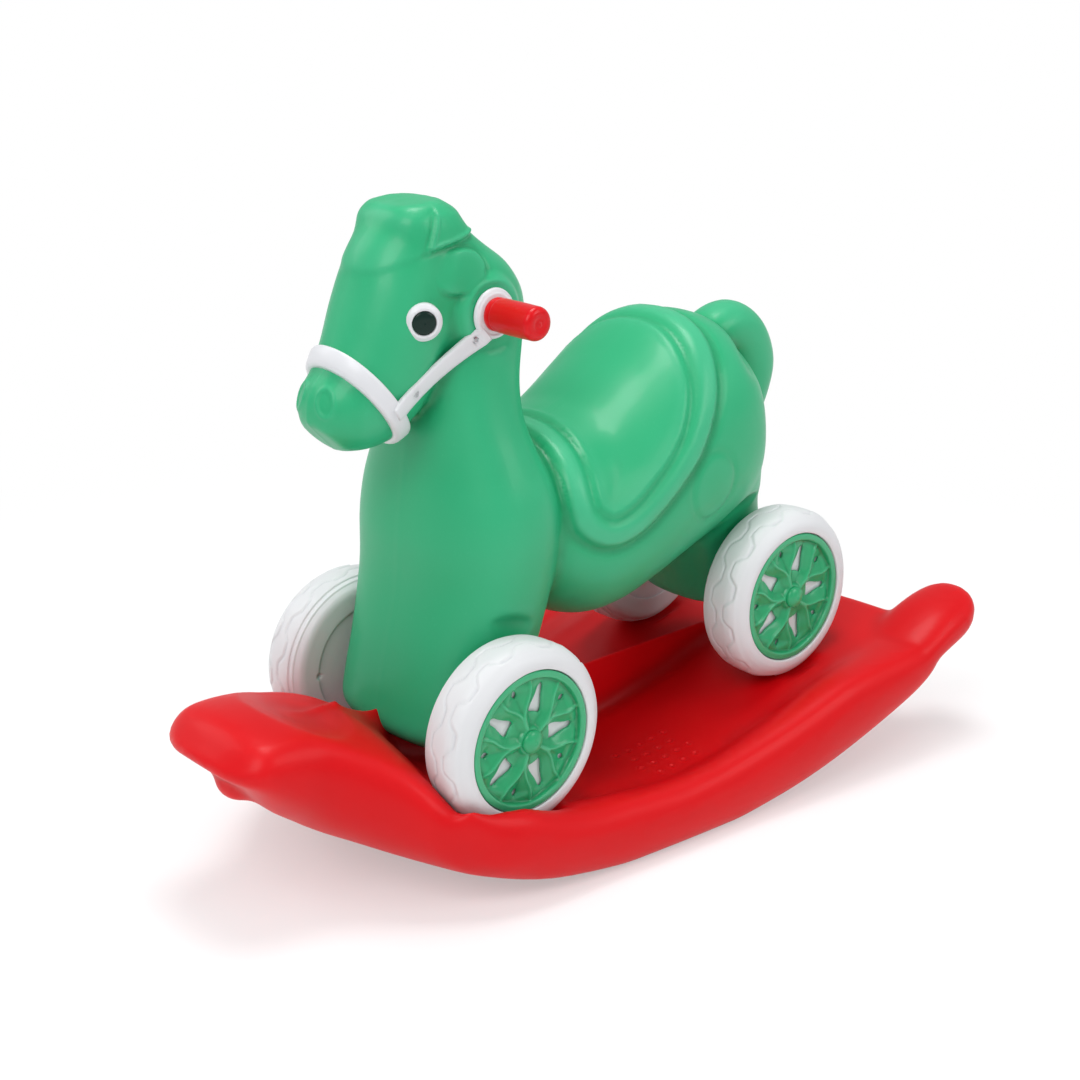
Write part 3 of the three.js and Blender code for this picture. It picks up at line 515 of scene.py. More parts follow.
def headHeight(s, x, y, z):
    # forelock, folded ears, the round tufts behind them and the nostrils
    across = np.abs(x)
    forelock = 0.9 * ease(z - 0.25 * (y + 131), 339.5, 343.5) * ease(-y, 112, 124)
    leftEdge = ((y + 139) * 19 - (z - 340) * 10) / math.hypot(19, 10)
    lowEdge = z - 340 - 0.1 * (y + 139)
    inner = np.minimum(leftEdge, lowEdge)
    side = ease(across, 8, 15)
    fold = 1.7 * ease(inner, -0.9, 0.9) + 1.5 * bell(inner, 1.1, 1.3) - 0.9 * bell(inner, -1.8, 1.4)
    ear = side * fold * (1 - ease(z, 358, 368)) * ease(-y, 92, 100)
    tuftY, tuftZ, tuftLong, tuftHigh = s["tuft"]
    within = 1 - np.hypot((y - tuftY) / tuftLong, (z - tuftZ) / tuftHigh)
    tuft = ease(across, 20, 28) * (3.0 * ease(within, -0.02, 0.1) - 0.9 * bell(within, -0.09, 0.07))
    tuft = tuft * ease(y + 0.5 * (321 - z), -140, -120)
    noseX, noseZ, noseWide, noseHigh = s["nostril"]
    nostrilAt = np.hypot((across - noseX + 0.25 * (z - noseZ)) / noseWide, (z - noseZ) / noseHigh)
    nostril = 0.9 * bell(nostrilAt, 1, 0.16) - 0.6 * (1 - ease(nostrilAt, 0.6, 0.95))
    nostril = np.where(y < -202, nostril, 0)
    return forelock + ear + tuft + nostril


def buildHorse(s):
    # the lofts as one skin, softened where they meet, then raised and sunk along its normals
    horse = remade(newPiece("horse_shell", [skinned(toFrame(r)) for r in horseParts(s)]), s["cell"])
    relax(horse, 5)
    x, y, z = toHorse(pointsOf(horse)).T
    throat = bell(y, -114, 30) * ease(z, 225, 262) * (1 - ease(z, 334, 350))
    forehead = ease(-y, 112, 128) * bell(z, 331, 20)
    shoulder = ease(np.abs(y + 60), 30, 12) * ease(z, 60, 90) * (1 - ease(z, 180, 210))
    relax(horse, 26, 0.5, throat)
    relax(horse, 45, 0.5, forehead)
    relax(horse, 10, 0.5, shoulder)
    refine(horse, fineOnHorse, 1)
    own = toHorse(pointsOf(horse))
    way = turnToHorse(normalsOf(horse))
    x, y, z = own.T
    # the saddle lies where the skin faces sideways or up, behind the chest and above the belly
    onSide = ease(np.abs(way[:, 0]) + np.maximum(way[:, 2], 0), 0.1, 0.5)
    onTrunk = ease(y, -66, -58)
    up = saddleHeight(s, y, z) * onSide * onTrunk * ease(z, 70, 90)
    up = up + np.where((z > 200) & (y < -60), headHeight(s, x, y, z), 0)
    # an oval on each hip, a hollow beside the tail, and the mould's seam along the middle
    hipY, hipZ, hipLong, hipHigh = s["hip"]
    hip = np.hypot((y - hipY) / hipLong, (z - hipZ) / hipHigh)
    up = up + np.where(np.abs(x) > 40, 0.6 * ease(1 - hip, 0, 0.1) - 1.4 * bell(hip, 1.03, 0.07), 0)
    dip = np.hypot((y - 150) / 13, (z - 196) / 16)
    up = up - 5 * bell(dip, 0, 1) * ease(np.abs(x), 12, 22)
    up = up + 0.35 * bell(x, 0, 1.6) * (y < 120)
    own = own + way * up[:, None]
    x, y, z = own.T
    # flats beside the wheels, and the round seats of the handle
    for leg, axle in ((s["frontLeg"], -halfBase), (s["rearLeg"], halfBase)):
        room = np.hypot(y - axle, z)
        limit = leg + 22 * ease(room, s["wheelRoom"] - 1, s["wheelRoom"] + 16) ** 1.3
        x = np.sign(x) * np.minimum(np.abs(x), np.where(room < s["wheelRoom"] + 16, limit, 1e3))
    ringAt = np.hypot(y - s["handle"][0], z - s["handle"][1])
    edge = s["discEdge"]
    seat = s["discSeat"] + 0.9 * bell(ringAt, edge + 0.8, 1.3) - 0.8 * bell(ringAt, edge + 4, 1.8)
    blend = (1 - ease(ringAt, edge + 2, edge + 8)) * (np.abs(x) > 25)
    x = np.sign(x) * (np.abs(x) * (1 - blend) + seat * blend)
    setPoints(horse, toFrame(np.stack((x, y, z), 1)))
    relax(horse, 1, 0.4)
    markFolds(horse, 14, 1.6 * mm)
    return horse


horseShell = buildHorse(horseSet)
finishPiece(horseShell, "green", "horse", "shell_green", "horse_body")
print("horse shell", len(horseShell.data.polygons))


# the rocker tray
traySet = {
    "cell": 3.0 * mm, "nose": -335, "tail": 303, "edge": 17, "flare": 40,
    "rocker": 600, "restHalf": 55, "wellRoom": 1.4, "wellInner": 2.6, "wellOuter": 2.6, "wheelFace": 119.4,
    # half the plan outline
    "outline": [(0, -335), (34, -332), (56, -318), (62, -292), (66, -268), (84, -242), (112, -214),
                (135, -182), (146, -142), (152, -70), (157, 0), (161, 70), (166, 140), (169, 210),
                (170, 260), (164, 285), (144, 301), (100, 303), (50, 303), (0, 303)],
    # height of the deck along the middle
    "deck": [(-331, 132), (-315, 145), (-300, 148), (-270, 146), (-240, 137), (-225, 133), (-210, 126),
             (-195, 114), (-184, 97), (-174, 83), (-164, 75), (-150, 67), (-129, 61), (-100, 54), (-60, 47),
             (0, 42), (60, 47), (120, 60), (169, 74), (230, 88), (270, 96), (302, 101)],
    # rims above the deck: outboard of the front wheels, and along each side
    "lip": [(-260, 0), (-230, 12), (-206, 25), (-187, 31), (-164, 20), (-139, 10), (-118, 6), (-70, 6),
            (-20, 3), (40, 0)],
    "side": [(-70, 0), (0, 7), (60, 10), (170, 10), (225, 5), (265, 0)],
    # horns: place behind the deck's edge, height, share of the half width, half height
    "horn": [(-88, 56, 0.6, 9), (-60, 70, 0.82, 15), (-34, 83, 0.96, 19), (-8, 95, 1, 21),
             (18, 103, 0.95, 20), (32, 109, 0.74, 16), (40, 112, 0.4, 9)],
    "hornHalf": 33, "hornAt": 137,
    "nub": (0, -297, 99), "nubRadius": 19,
    "dish": (-250, 54, 34),  # the shallow dish in the nose: place, half width, half length
}


def deckAt(s, x, y):
    # the middle's height, less the hump's fall to the sides, plus the rims
    middle, lip, side = (np.interp(y, *flowing(s[k], 400).T) for k in ("deck", "lip", "side"))
    hump = 0.0028 * x * x * (1 - ease(y, -200, -140))
    lip = lip * ease(np.abs(x), s["wheelFace"] - 4, s["wheelFace"] + 4)
    return middle - hump + lip + side * ease(np.abs(x), 116, 140)


def undersideAt(s, y):
    # flat in the middle, then a parabola, the square past the flat over twice the rocker's radius, and more
    # towards the nose
    return np.maximum(0, (y * y - s["restHalf"] ** 2) / (2 * s["rocker"])) + 22 * ease(-y, 245, 335)


def trayParts(s):
    # rings of the outline drawn in towards a spine, round at the rim, over the deck and under the belly
    half = flowing(s["outline"], 260)
    around = np.concatenate((half, half[-2:0:-1] * (-1, 1)))
    x0, y0 = around.T
    x0 = np.where(np.abs(x0) < 1e-6, 0, x0)
    y1 = np.clip(y0, s["nose"] + 70, s["tail"] - 40)
    long = np.hypot(x0, y1 - y0)
    reachIn = np.concatenate((np.linspace(0, 1, 15) ** 1.6 * 0.35, np.linspace(0.4, 1, 30)))
    rows = []
    for up, shares in ((True, reachIn[::-1]), (False, reachIn[1:])):
        inward = shares[:, None] * long
        x, y = x0 * (1 - shares[:, None]), y0 + (y1 - y0) * shares[:, None]
        bow = ease(-y, 120, 260)
        edge = s["edge"] if up else s["edge"] + s["flare"] * bow
        curve = np.sqrt(np.maximum(1 - (1 - np.clip(inward / edge, 0, 1)) ** 2, 0))
        top, low = deckAt(s, x, y), undersideAt(s, y)
        middle = low + (top - low) * (0.5 + 0.14 * bow)
        z = middle + ((top if up else low) - middle) * curve
        rows.append(np.stack((x, y, z), -1))
    yield skinned(np.concatenate(rows) * mm)
    horn = flowing(s["horn"], 40).T
    for side in (-1, 1):
        form = rings(s["tail"] + horn[0], horn[1], np.pi / 2, horn[2] * s["hornHalf"], horn[3], 2.2, 48)
        yield skinned((form + (side * s["hornAt"], 0, 0)) * mm)
    turn = np.linspace(0, np.pi, 24)
    ball = np.stack((s["nubRadius"] * np.sin(turn), -s["nubRadius"] * np.cos(turn)), 1)
    p, q, t = revolved(ball, 40)
    yield (p * (1, 1, 0.85) + s["nub"]) * mm, q, t


def bar(centre, radius, half, sides=96):
    # a round bar along X
    p, q, t = revolved([(radius, -half), (radius, half)], sides)
    return p + centre, q, t


def fineOnTray(points):
    # the deck round the dimples
    x, y, z = points.T
    return (np.abs(np.abs(x) - 0.088) < 0.032) & (np.abs(y - 0.034) < 0.042) & (z > 0.03)


def trayDots():
    # four staggered rows of small dimples on each side of the deck
    for row in range(4):
        for k in range(5 - row % 2):
            yield 66 + row * 14, 5 + (k + 0.5 * (row % 2)) * 13


def buildTray(s):
    # plate, horns and nub as one skin, with the wells cut from it, then dished and dimpled along its normals
    tray = newPiece("tray_whole", list(trayParts(s)))
    wells = []
    for corner in corners:
        low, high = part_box("wheel_" + corner)
        middle, radius = (low + high) / 2, (high.z - low.z) / 2
        side = 1 if middle.x > 0 else -1
        inner = min(abs(low.x), abs(high.x)) - s["wellInner"] * mm
        outer = max(abs(low.x), abs(high.x)) + s["wellOuter"] * mm
        centre = np.array((side * (inner + outer) / 2, middle.y, middle.z))
        wells.append(bar(centre, radius + s["wellRoom"] * mm, (outer - inner) / 2))
    remade(tray, s["cell"])
    relax(tray, 5)
    cutter = newPiece("wells", wells)
    cut = tray.modifiers.new("wells", "BOOLEAN")
    cut.operation, cut.object, cut.solver = "DIFFERENCE", cutter, "EXACT"
    settle(tray)
    bpy.data.objects.remove(cutter)
    remade(tray, s["cell"])
    tray.name = "tray_shell"
    x, y, z = np.abs(pointsOf(tray).T) / mm
    relax(tray, 2)
    frontRims = ease(x, 108, 120) * ease(-pointsOf(tray)[:, 1] / mm, 50, 90) * ease(z, 40, 55)
    relax(tray, 40, 0.5, frontRims)
    refine(tray, fineOnTray, 2)
    p, way = pointsOf(tray), normalsOf(tray)
    x, y, z = p.T / mm
    dish = np.hypot(x / s["dish"][1], (y - s["dish"][0]) / s["dish"][2])
    scoop = -5 * (1 - ease(dish, 0.25, 1)) - 1.2 * (1 - ease(dish, 0.84, 1.02))
    up = np.where(y < -150, scoop * ease(way[:, 2], 0.3, 0.7), 0)
    for dotX, dotY in trayDots():
        away = np.hypot(np.abs(x) - dotX, y - dotY)
        dimple = 0.5 * bell(away, 3.0, 0.9) - 1.0 * (1 - ease(away, 0.8, 2.8))
        up = up + np.where((way[:, 2] > 0.5) & (away < 8), dimple, 0)
    setPoints(tray, p + way * up[:, None] * mm)
    # the hump ahead of the front legs, softened in two bands that narrow towards the middle
    ahead = ease(y, -214, -206) * (1 - ease(y, -180, -160)) * (z > 60)
    relax(tray, 50, 0.5, (1 - ease(np.abs(x), 72, 88)) * ahead)
    relax(tray, 110, 0.5, (1 - ease(np.abs(x), 66, 76)) * ahead)
    markFolds(tray, 8, 1.5 * mm)
    return tray


trayShell = buildTray(traySet)
finishPiece(trayShell, "red", "tray", "tray_red", "rocker_tray")
print("tray", len(trayShell.data.polygons))


# the wheels, made about X with the outer face at 0
wheelSet = {
    "sides": 288,
    # radius and place of the profile, from the cover's seat over the tread to the inner face
    "profile": [(4.6, -9.3), (30, -9.3), (52, -9.3), (53.4, -9), (53.6, -8), (53.6, -4), (53.7, -1.4),
                (54.6, -0.5), (57, -0.3), (60, -0.7), (63.5, -2.4), (66.6, -5.2), (69, -8.8), (70.3, -12.5),
                (70.8, -16), (70.9, -21), (70.8, -26), (70.5, -30), (69.9, -33.2), (68.6, -33.9),
                (68.2, -35), (67.9, -37.4), (66.6, -38.2), (65.8, -39.2), (63.5, -41.6), (60, -42.8),
                (55, -43), (47, -43), (45, -42), (30, -41.6), (14, -41.6), (11, -43), (4.6, -43)],
    "tread": 12, "groove": 1.3,  # kinks round the wheel, and depth of the grooves
}


def wheelPart(s):
    # the profile turned about X, with kinked grooves run round the tread
    profile = flowing(s["profile"], 190)
    turn = np.arange(s["sides"]) / s["sides"] * 2 * np.pi
    r, x = profile[:, :1] + 0 * turn, profile[:, 1:] + 0 * turn
    onTread = ease(r, 62, 67) * ease(-x, 3, 6) * ease(x, -36, -32)
    wave = turn * s["tread"] / (2 * np.pi)
    kink = np.clip(np.abs((wave % 1) * 2 - 1) * 2.4 - 0.7, 0, 1)
    shifted = np.clip(np.abs(((wave + 0.35) % 1) * 2 - 1) * 2.4 - 0.7, 0, 1)
    groove = bell(x, -7.5 - 7.5 * kink, 0.9) + bell(x, -22 - 6 * shifted, 0.9)
    step = 0.5 * ease(x, -7.5 - 7.5 * kink - 1, -7.5 - 7.5 * kink)
    step = step - 0.25 * ease(-x, 22 + 6 * shifted, 23 + 6 * shifted)
    rise = (step - s["groove"] * groove) * onTread
    # a small vent in the inner face
    vent = np.hypot(r * np.cos(turn) - 46, r * np.sin(turn))
    x = x + np.where(x < -40, 1.6 * (1 - ease(vent, 1.6, 2.6)), 0)
    r = r + rise
    return skinned(np.stack((x, r * np.cos(turn), r * np.sin(turn)), -1))


coverSet = {
    "radius": 53, "back": -8.9, "floor": -6.6, "rim": -1.0, "rimWidth": 5.5, "boss": 10.5, "arms": 10,
    "cell": 0.75 * mm,
}


def coverParts(s):
    # rim, hub plate and boss turned about X, and kinked arms that fork in pairs
    r, b, f = s["radius"], s["back"], s["floor"]
    inner = r - s["rimWidth"]
    rim = [(inner - 4, b), (r, b), (r, s["rim"] - 0.8), (r - 0.8, s["rim"]), (inner + 0.6, s["rim"]),
           (inner, s["rim"] - 0.8), (inner - 0.8, f + 1.2), (inner - 4, f), (inner - 4, b)]
    hub = [(4.6, b), (21, b), (21, f), (15, f + 0.5), (s["boss"] + 0.8, f + 1.6), (s["boss"], f + 3.4),
           (s["boss"] - 0.9, -2.0), (4.6, -2.0), (4.6, b)]
    for profile in (rim, hub):
        grid = np.asarray(profile, float)[:-1]
        turn = np.arange(120) / 120 * 2 * np.pi
        rr, xx = grid[:, :1] + 0 * turn, grid[:, 1:] + 0 * turn
        points = np.stack((xx, rr * np.cos(turn), rr * np.sin(turn)), -1)
        yield points.reshape(-1, 3), gridQuads(len(grid), 120, wrapRows=True), []
    out = np.linspace(9, inner + 1, 30)
    for k in range(s["arms"]):
        side = 1 if k % 2 else -1
        middle = (k + 0.5) / s["arms"] * 2 * np.pi
        # the ridge runs beside its twin from the hub, then away from it past the fork
        turn = middle - side * np.radians(15.5) * (1 - ease(out, 18, 40))
        ridge = f + 5.0 - 1.6 * ease(out, 40, 48)
        web = 6.4 + 3.4 * ease(out, 18, 32) + 7 * ease(out, 38, 44)
        edges = (-0.7, 0.7, 1.3, web, web, -web, -web, -1.3)
        levels = (ridge, ridge, ridge - 1.2, f, b, b, f, ridge - 1.2)
        across = np.stack([0 * out + v for v in edges], 1)
        high = np.stack([0 * out + v for v in levels], 1)
        way = turn[:, None] + 0 * across
        y = out[:, None] * np.cos(way) - across * np.sin(way)
        z = out[:, None] * np.sin(way) + across * np.cos(way)
        yield skinned(np.stack((high, y, z), -1))


# the axle's cap: radius and place along the axle
capProfile = [(0, -2.2), (8.8, -2.2), (9, -1.6), (9, -0.4), (8.6, 0.5), (7.6, 1.3), (6, 2.2), (4, 2.9),
              (2, 3.3), (0, 3.45)]


def atCorner(points, corner, side):
    # wheel pieces face outwards; the right-hand ones are turned half a turn about Z
    low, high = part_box("wheel_" + corner)
    middle = np.array((low + high) / 2)
    face = high.x if side > 0 else low.x
    return points * mm * (side, side, 1) + (face, middle[1], middle[2])


wheelGrid = wheelPart(wheelSet)
coverSkins = [(p * mm, q, t) for p, q, t in coverParts(coverSet)]
coverModel = remade(newPiece("cover_model", coverSkins), coverSet["cell"])
relax(coverModel, 2)
markFolds(coverModel, 6, 0.35 * mm)
coverPoints = pointsOf(coverModel) / mm
capGrid = revolved(capProfile, 40)

for corner in corners:
    side = 1 if corner.endswith("left") else -1
    body = corner + "_wheel"
    tyre = newPiece("tyre_" + corner, [(atCorner(wheelGrid[0], corner, side), *wheelGrid[1:])])
    markFolds(tyre, 5, 0.5 * mm)
    finishPiece(tyre, "white", body, "wheel_white", "wheel_" + corner)
    cover = bpy.data.objects.new("cover_" + corner, coverModel.data.copy())
    bpy.context.scene.collection.objects.link(cover)
    setPoints(cover, atCorner(coverPoints, corner, side))
    finishPiece(cover, "greenHard", body, "shell_green", "wheel_cover_" + corner)
    cap = newPiece("cap_" + corner, [(atCorner(capGrid[0], corner, side), *capGrid[1:])])
    finishPiece(cap, "greenHard", "horse", "shell_green", "axle_cap_" + corner)
bpy.data.objects.remove(coverModel)
print("wheels made")


# the handle
handleSet = {
    "seat": 46.8, "discRadius": 18, "disc": 3.4, "gripRadius": 12, "gripStart": 50.2, "grip": 45.5,
}


def handlePieces(s):
    # profiles, radius and place along X: a plate with a rolled edge, and a grip with collar and dished end
    x, disc = s["seat"], s["disc"]
    r = s["discRadius"]
    plate = [(0, x), (r - 0.6, x), (r, x + 0.6), (r, x + disc - 2.2), (r - 0.5, x + disc - 0.9),
             (r - 1.8, x + disc - 0.15), (r - 3.4, x + disc), (14.6, x + disc), (13.6, x + disc + 0.12),
             (0, x + disc + 0.12)]
    g, start, end = s["gripRadius"], s["gripStart"], s["gripStart"] + s["grip"]
    quarter = np.linspace(0, np.pi / 2, 9)
    tip = [(g - 4.6 + 4.6 * math.cos(a), end - 4.6 + 4.6 * math.sin(a)) for a in quarter]
    dish = [(g - 6.2, end), (g - 7, end - 0.35), (g - 8, end - 0.5), (0, end - 0.5)]
    collar = [(0, start), (g - 0.8, start), (g - 0.1, start + 0.8), (g - 0.1, start + 4),
              (g - 0.5, start + 4.7), (g - 0.5, start + 5.6), (g, start + 6.3)]
    along = [(g + 0.15 * math.sin(math.pi * k / 9), start + 7 + (s["grip"] - 12) * k / 9) for k in range(10)]
    return plate, collar + along + tip + dish


plate, grip = handlePieces(handleSet)
handleAt = np.array([0, horseSet["handle"][0], horseSet["handle"][1]], float)
for label, side in (("left", 1), ("right", -1)):
    for name, profile, finish, slot, node in (("disc", plate, "whiteHard", "trim_white", "handle_disc_"),
                                              ("grip", grip, "redGrip", "grip_red", "handle_grip_")):
        points, quads, tris = revolved(profile, 72)
        piece = newPiece(name + "_" + label, [(toFrame(points * (side, side, 1) + handleAt), quads, tris)])
        finishPiece(piece, finish, "horse", slot, node + label)
print("handle made")


# the bridle
bridleSet = {
    "bandTop": (-210, 283), "bandLow": (-153, 192), "bandWidth": 13.5, "bandThick": 5, "bandReach": 50,
    "strapLow": (-182, 237), "strapHigh": (-106, 277.5), "strapWidth": 13.5, "strapThick": 3.6,
    "screws": [(-163, 247), (-113, 274)],
}


def draped(grid, loop, alongX):
    # a grid of points dropped onto the horse's shell, along X or along the grid's own normals
    quads = gridQuads(*grid.shape[:2], wrapRows=loop, wrapCols=False)
    sheet = newPiece("sheet", [(toFrame(grid.reshape(-1, 3)), quads, [])])
    drop = sheet.modifiers.new("drop", "SHRINKWRAP")
    drop.target, drop.wrap_method, drop.use_project_x = horseShell, "PROJECT", alongX
    drop.use_positive_direction = drop.use_negative_direction = True
    drop.project_limit = 0 if alongX else 0.03
    settle(sheet)
    laid = toHorse(pointsOf(sheet)).reshape(grid.shape)
    bpy.data.objects.remove(sheet)
    return laid


def section(half, thick, sunk, count=20):
    # a strap's cross-section: a rounded-square loop, flat side sunk a little into what it lies on
    turn = np.arange(count) / count * 2 * np.pi
    c, s = np.cos(turn), np.sin(turn)
    across = half * np.sign(c) * np.abs(c) ** 0.5
    high = np.where(s > 0, thick * np.abs(s) ** 0.6, -sunk * np.abs(s))
    return across, high


def noseband(s):
    # a closed band round the muzzle: from its middle out by the skin's reach, plus the section's thickness
    top, low = np.array(s["bandTop"], float), np.array(s["bandLow"], float)
    middle, down = (top + low) / 2, (low - top) / np.linalg.norm(low - top)
    sideways = np.array((-down[1], down[0]))
    across, high = section(s["bandWidth"] / 2, s["bandThick"], 0.8)
    turn = np.arange(160) / 160 * 2 * np.pi
    out = np.stack((np.cos(turn), down[0] * np.sin(turn), down[1] * np.sin(turn)), 1)
    middle, sideways = np.array((0, *middle)), np.array((0, *sideways))
    centre = middle + across[None, :, None] * sideways
    ways = np.repeat(out[:, None], len(across), 1)
    # the skin's reach is taken on an even strip, then read off for each point of the section
    even = np.linspace(across.min(), across.max(), 9)
    strip = middle + even[None, :, None] * sideways + out[:, None] * s["bandReach"]
    laid = draped(strip, True, False)
    reach = np.einsum("ijk,ik->ij", laid - middle, out)
    # under the chin the neck is in the way, and the band runs on from its sides
    for column in reach.T:
        clear = (np.sin(turn) < 0.85) & (column < s["bandReach"] - 0.5)
        column[:] = np.interp(turn, turn[clear], column[clear], period=2 * np.pi)
    for _ in range(8):
        reach = (np.roll(reach, 1, 0) + reach * 2 + np.roll(reach, -1, 0)) / 4
    slope = ((reach[:, -1] - reach[:, 0]) / (even[-1] - even[0]))[:, None]
    flat = reach.mean(1)[:, None] + slope * across
    points = centre + ways * (flat + high)[..., None]
    return toFrame(points.reshape(-1, 3)), gridQuads(160, len(across), wrapRows=True), []


def strap(s, side):
    # a straight run seen from the side, laid on the cheek, with its two screw holes sunk in it
    start, end = np.array(s["strapLow"], float), np.array(s["strapHigh"], float)
    run = (end - start) / np.linalg.norm(end - start)
    cross = np.array((-run[1], run[0]))
    across, high = section(s["strapWidth"] / 2, s["strapThick"], 1.6, 28)
    along = np.linspace(0, np.linalg.norm(end - start), 90)
    narrow = 1 - 0.25 * (1 - ease(along, 0, 5)) - 0.15 * ease(along, along[-1] - 5, along[-1])
    yz = start + along[:, None, None] * run + (across * narrow[:, None])[..., None] * cross
    line = start + along[:, None] * run
    even = np.linspace(-1, 1, 5) * s["strapWidth"] / 2
    strip = line[:, None] + even[None, :, None] * cross
    strip = np.concatenate((np.full(strip.shape[:2] + (1,), side * 100.0), strip), -1)
    skin = np.abs(draped(strip, False, True)[..., 0])
    # a parabola through the skin along the strap, raised where the skin stands above it
    bow, tilt = (np.polyval(np.polyfit(along, v, 2), along) for v in (skin.mean(1), skin[:, -1] - skin[:, 0]))
    bow = bow + 0.6 * np.maximum(skin.mean(1) - bow, 0).max()
    flat = bow[:, None] + (tilt / (even[-1] - even[0]))[:, None] * across * narrow[:, None]
    base = np.concatenate((side * flat[..., None], yz), -1)
    lift = np.repeat(high[None], len(along), 0)
    seats = []
    for at in s["screws"]:
        away = np.hypot(yz[..., 0] - at[0], yz[..., 1] - at[1])
        sunk = 1.9 * (1 - ease(away, 3.0, 3.6))
        lift = np.where(high[None, :] > 0, lift - sunk, lift)
        near = np.argmin(away + (high[None, :] <= 0) * 99)
        seats.append(base.reshape(-1, 3)[near][0] + side * lift.reshape(-1)[near])
    base[..., 0] += side * lift
    return skinned(base), seats


finishPiece(newPiece("noseband_strap", [noseband(bridleSet)]), "whiteHard", "horse", "trim_white", "noseband")


def screwHead(radius):
    # a low dome with a cross cut into it
    ring = np.concatenate((np.linspace(0.02, 1, 22) * radius, [radius, radius]))
    turn = np.arange(64) / 64 * 2 * np.pi
    r = ring[:, None] + 0 * turn
    y, z = r * np.cos(turn), r * np.sin(turn)
    dome = 0.9 * np.sqrt(np.maximum(1 - (r / radius * 0.93) ** 2, 0))
    slot = (1 - ease(np.minimum(np.abs(y), np.abs(z)), 0.25, 0.45)) * (1 - ease(r, 1.5, 1.9))
    x = dome - 0.6 * slot
    x[-1] = -2
    return skinned(np.stack((x, y, z), -1))


for label, side in (("left", 1), ("right", -1)):
    (points, quads, tris), seats = strap(bridleSet, side)
    piece = newPiece("strap_" + label, [(toFrame(points), quads, tris)])
    finishPiece(piece, "whiteHard", "horse", "trim_white", "cheek_strap_" + label)
    for where, at, seat in zip(("lower", "upper"), bridleSet["screws"], seats):
        p, q, t = screwHead(2.6)
        p = p * (side, side, 1) + (seat - side * 0.1, at[0], at[1])
        finishPiece(newPiece("screw_" + where + "_" + label, [(toFrame(p), q, t)]), "steel", "horse", "steel",
                    "bridle_screw_" + where + "_" + label)
print("bridle made")


# the eyes
eyeSet = {
    "at": (37.2, -151, 296), "turn": -0.45, "radius": 13.2, "pupil": 8.2, "depth": 9,
}


def eyeForms(s):
    # profiles, radius and place along X: a domed white plate with a rim round the pupil, and the pupil's dome
    r, p, d = s["radius"], s["pupil"], s["depth"]
    white = [(0, 0.5), (r, 0.5), (r, d - 2.2), (r - 0.3, d - 1.2), (r - 1, d - 0.4), (r - 2.2, d + 0.1),
             (p + 2.4, d + 0.7), (p + 1, d + 0.75), (p + 0.4, d + 0.4), (p + 0.2, d - 0.4), (p + 0.1, d - 1),
             (0, d - 1)]
    dome = [(p * math.cos(a), d + 0.1 + 2.1 * math.sin(a)) for a in np.linspace(0.12, np.pi / 2, 14)]
    return white, [(0, d - 1.6), (p, d - 1.6), (p, d - 0.2)] + dome


def inEye(points, s, side):
    # a form about X is turned about Z and set on the cheek
    turn = s["turn"] if side > 0 else math.pi - s["turn"]
    x, y, z = points.T
    spun = np.stack((x * math.cos(turn) - y * math.sin(turn), x * math.sin(turn) + y * math.cos(turn), z), 1)
    return toFrame(spun + (side * s["at"][0], s["at"][1], s["at"][2]))


whiteForm, blackForm = eyeForms(eyeSet)
for label, side in (("left", 1), ("right", -1)):
    for name, form, finish, slot, node in (("eye_ring_", whiteForm, "whiteHard", "trim_white", "eye_white_"),
                                           ("pupil_", blackForm, "black", "pupil", "eye_pupil_")):
        points, quads, tris = revolved(form, 80)
        piece = newPiece(name + label, [(inEye(points, eyeSet, side), quads, tris)])
        finishPiece(piece, finish, "horse", slot, node + label)
print("eyes made")


# the CAD nodes that stay, in better finishes
for name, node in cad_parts.items():
    if node.hide_render:
        continue
    metal = name in ("front_axle", "rear_axle", "handle_bar")
    kind = "steel" if metal else "red" if name == "tray_plug" else "white"
    node.data.materials.clear()
    node.data.materials.append(finishes[kind])


# room, lights and camera
studio = {
    "floorSize": 30, "floor": grey(0.93), "air": 0.5, "lift": 0.4, "fade": (0.45, 1.0),
    # place, aim, size and watts of each lamp
    "lamps": [((0.9, -1.9, 2.1), (0, -0.05, 0.2), 1.4, 28), ((-1.8, -1.2, 1.7), (0, 0, 0.2), 1.2, 10),
              ((1.9, 0.9, 1.6), (0, 0.05, 0.2), 1.1, 13), ((-0.1, 0.1, 2.4), (0, 0, 0), 0.9, 24)],
    "eye": (1.0003, -0.9156, 0.6803), "look": (-0.710, 0.6236, -0.3271), "lens": 61.35,
    "shift": (0.018, -0.0056),
}


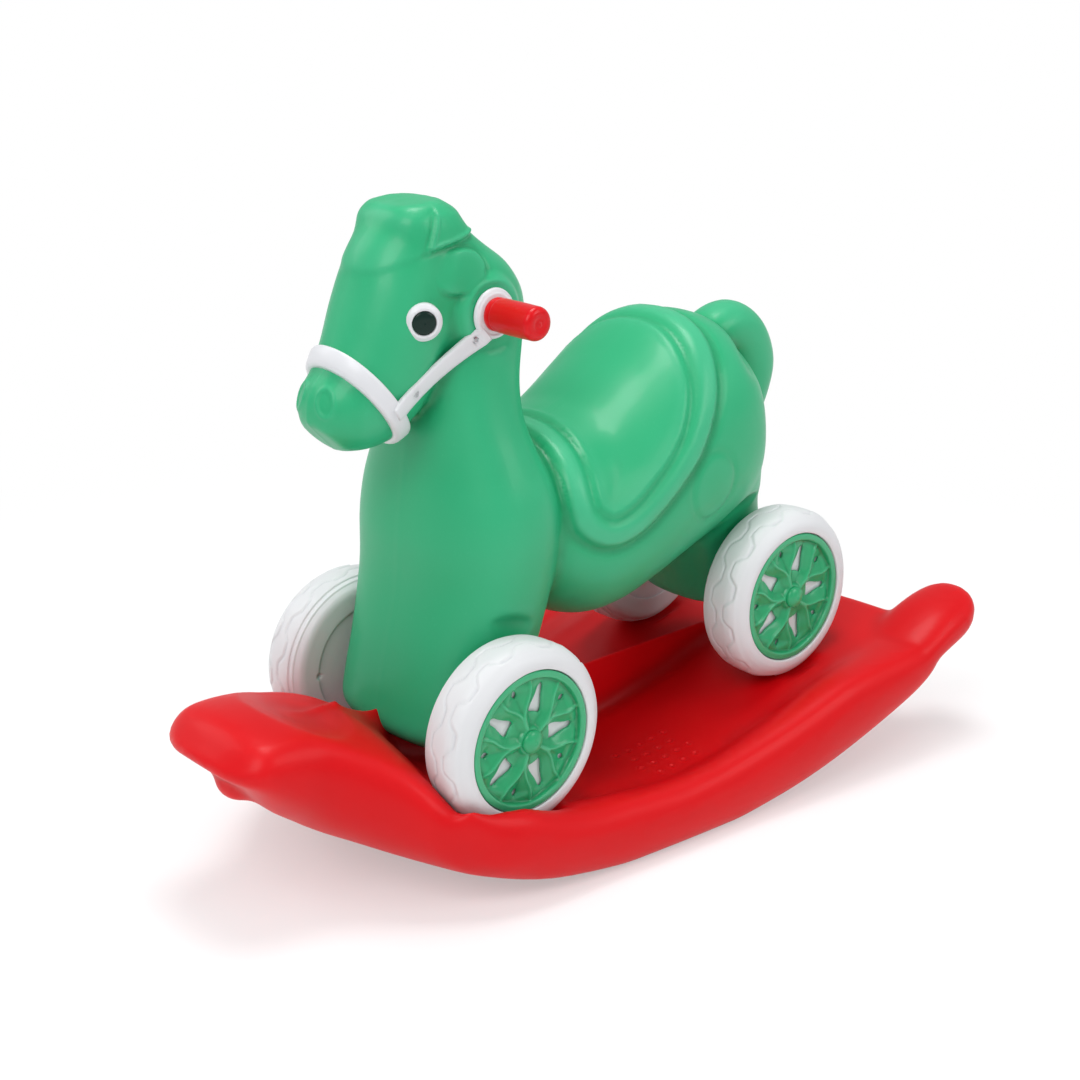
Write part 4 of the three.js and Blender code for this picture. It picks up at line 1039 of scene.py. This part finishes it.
def buildStudio(s):
    # floor, world, lamps and camera
    half = s["floorSize"] / 2
    mesh = bpy.data.meshes.new("floor")
    edge = [(-half, -half, 0), (half, -half, 0), (half, half, 0), (-half, half, 0)]
    mesh.from_pydata(edge, [], [(0, 1, 2, 3)])
    floor = bpy.data.objects.new("floor", mesh)
    bpy.context.scene.collection.objects.link(floor)
    paint = Paint("floor", Roughness=0.9, Specular_IOR_Level=0.0)
    paint.shader.inputs["Base Color"].default_value = s["floor"]
    # white to the eye away from the toy, and part white beneath it so that the shadow stays soft
    away = paint.node("ShaderNodeVectorMath", {"operation": "LENGTH"}, {0: paint.place}, "Value")
    far = paint.node("ShaderNodeMapRange", {"interpolation_type": "SMOOTHSTEP"},
                     {"Value": away, "From Min": s["fade"][0], "From Max": s["fade"][1], "To Min": s["lift"]})
    glow = paint.node("ShaderNodeEmission", {}, {"Color": grey(1), "Strength": 1.0})
    plain = Wire(paint, paint.shader.outputs[0])
    shown = paint.node("ShaderNodeMixShader", {}, {0: far * paint.seen(), 1: plain, 2: glow})
    paint.tree.links.new(shown.socket, paint.tree.nodes["Material Output"].inputs["Surface"])
    mesh.materials.append(paint.material)

    world = bpy.data.worlds.new("air")
    bpy.context.scene.world = world
    world.use_nodes = True
    nodes, links = world.node_tree.nodes, world.node_tree.links
    air = nodes["Background"]
    air.inputs["Color"].default_value = (0.97, 0.985, 1, 1)
    air.inputs["Strength"].default_value = s["air"]
    kinds = ("ShaderNodeBackground", "ShaderNodeLightPath", "ShaderNodeMixShader")
    white, path, mix = (nodes.new(k) for k in kinds)
    white.inputs["Color"].default_value = grey(1)
    links.new(path.outputs["Is Camera Ray"], mix.inputs[0])
    links.new(air.outputs[0], mix.inputs[1])
    links.new(white.outputs[0], mix.inputs[2])
    links.new(mix.outputs[0], nodes["World Output"].inputs["Surface"])

    for k, (place, aim, size, watts) in enumerate(s["lamps"]):
        lamp = bpy.data.objects.new(f"lamp_{k}", bpy.data.lights.new(f"lamp_{k}", "AREA"))
        lamp.data.energy, lamp.data.size = watts, size
        lamp.location = place
        lamp.rotation_euler = (Vector(aim) - Vector(place)).to_track_quat("-Z", "Y").to_euler()
        bpy.context.scene.collection.objects.link(lamp)

    camera = bpy.data.objects.new("camera", bpy.data.cameras.new("camera"))
    bpy.context.scene.collection.objects.link(camera)
    camera.location = s["eye"]
    camera.rotation_euler = Vector(s["look"]).to_track_quat("-Z", "Y").to_euler()
    camera.data.sensor_width, camera.data.lens = 36, s["lens"]
    camera.data.shift_x, camera.data.shift_y = s["shift"]
    bpy.context.scene.camera = camera
    bpy.context.scene.view_settings.view_transform = "Standard"


buildStudio(studio)
print("studio made")
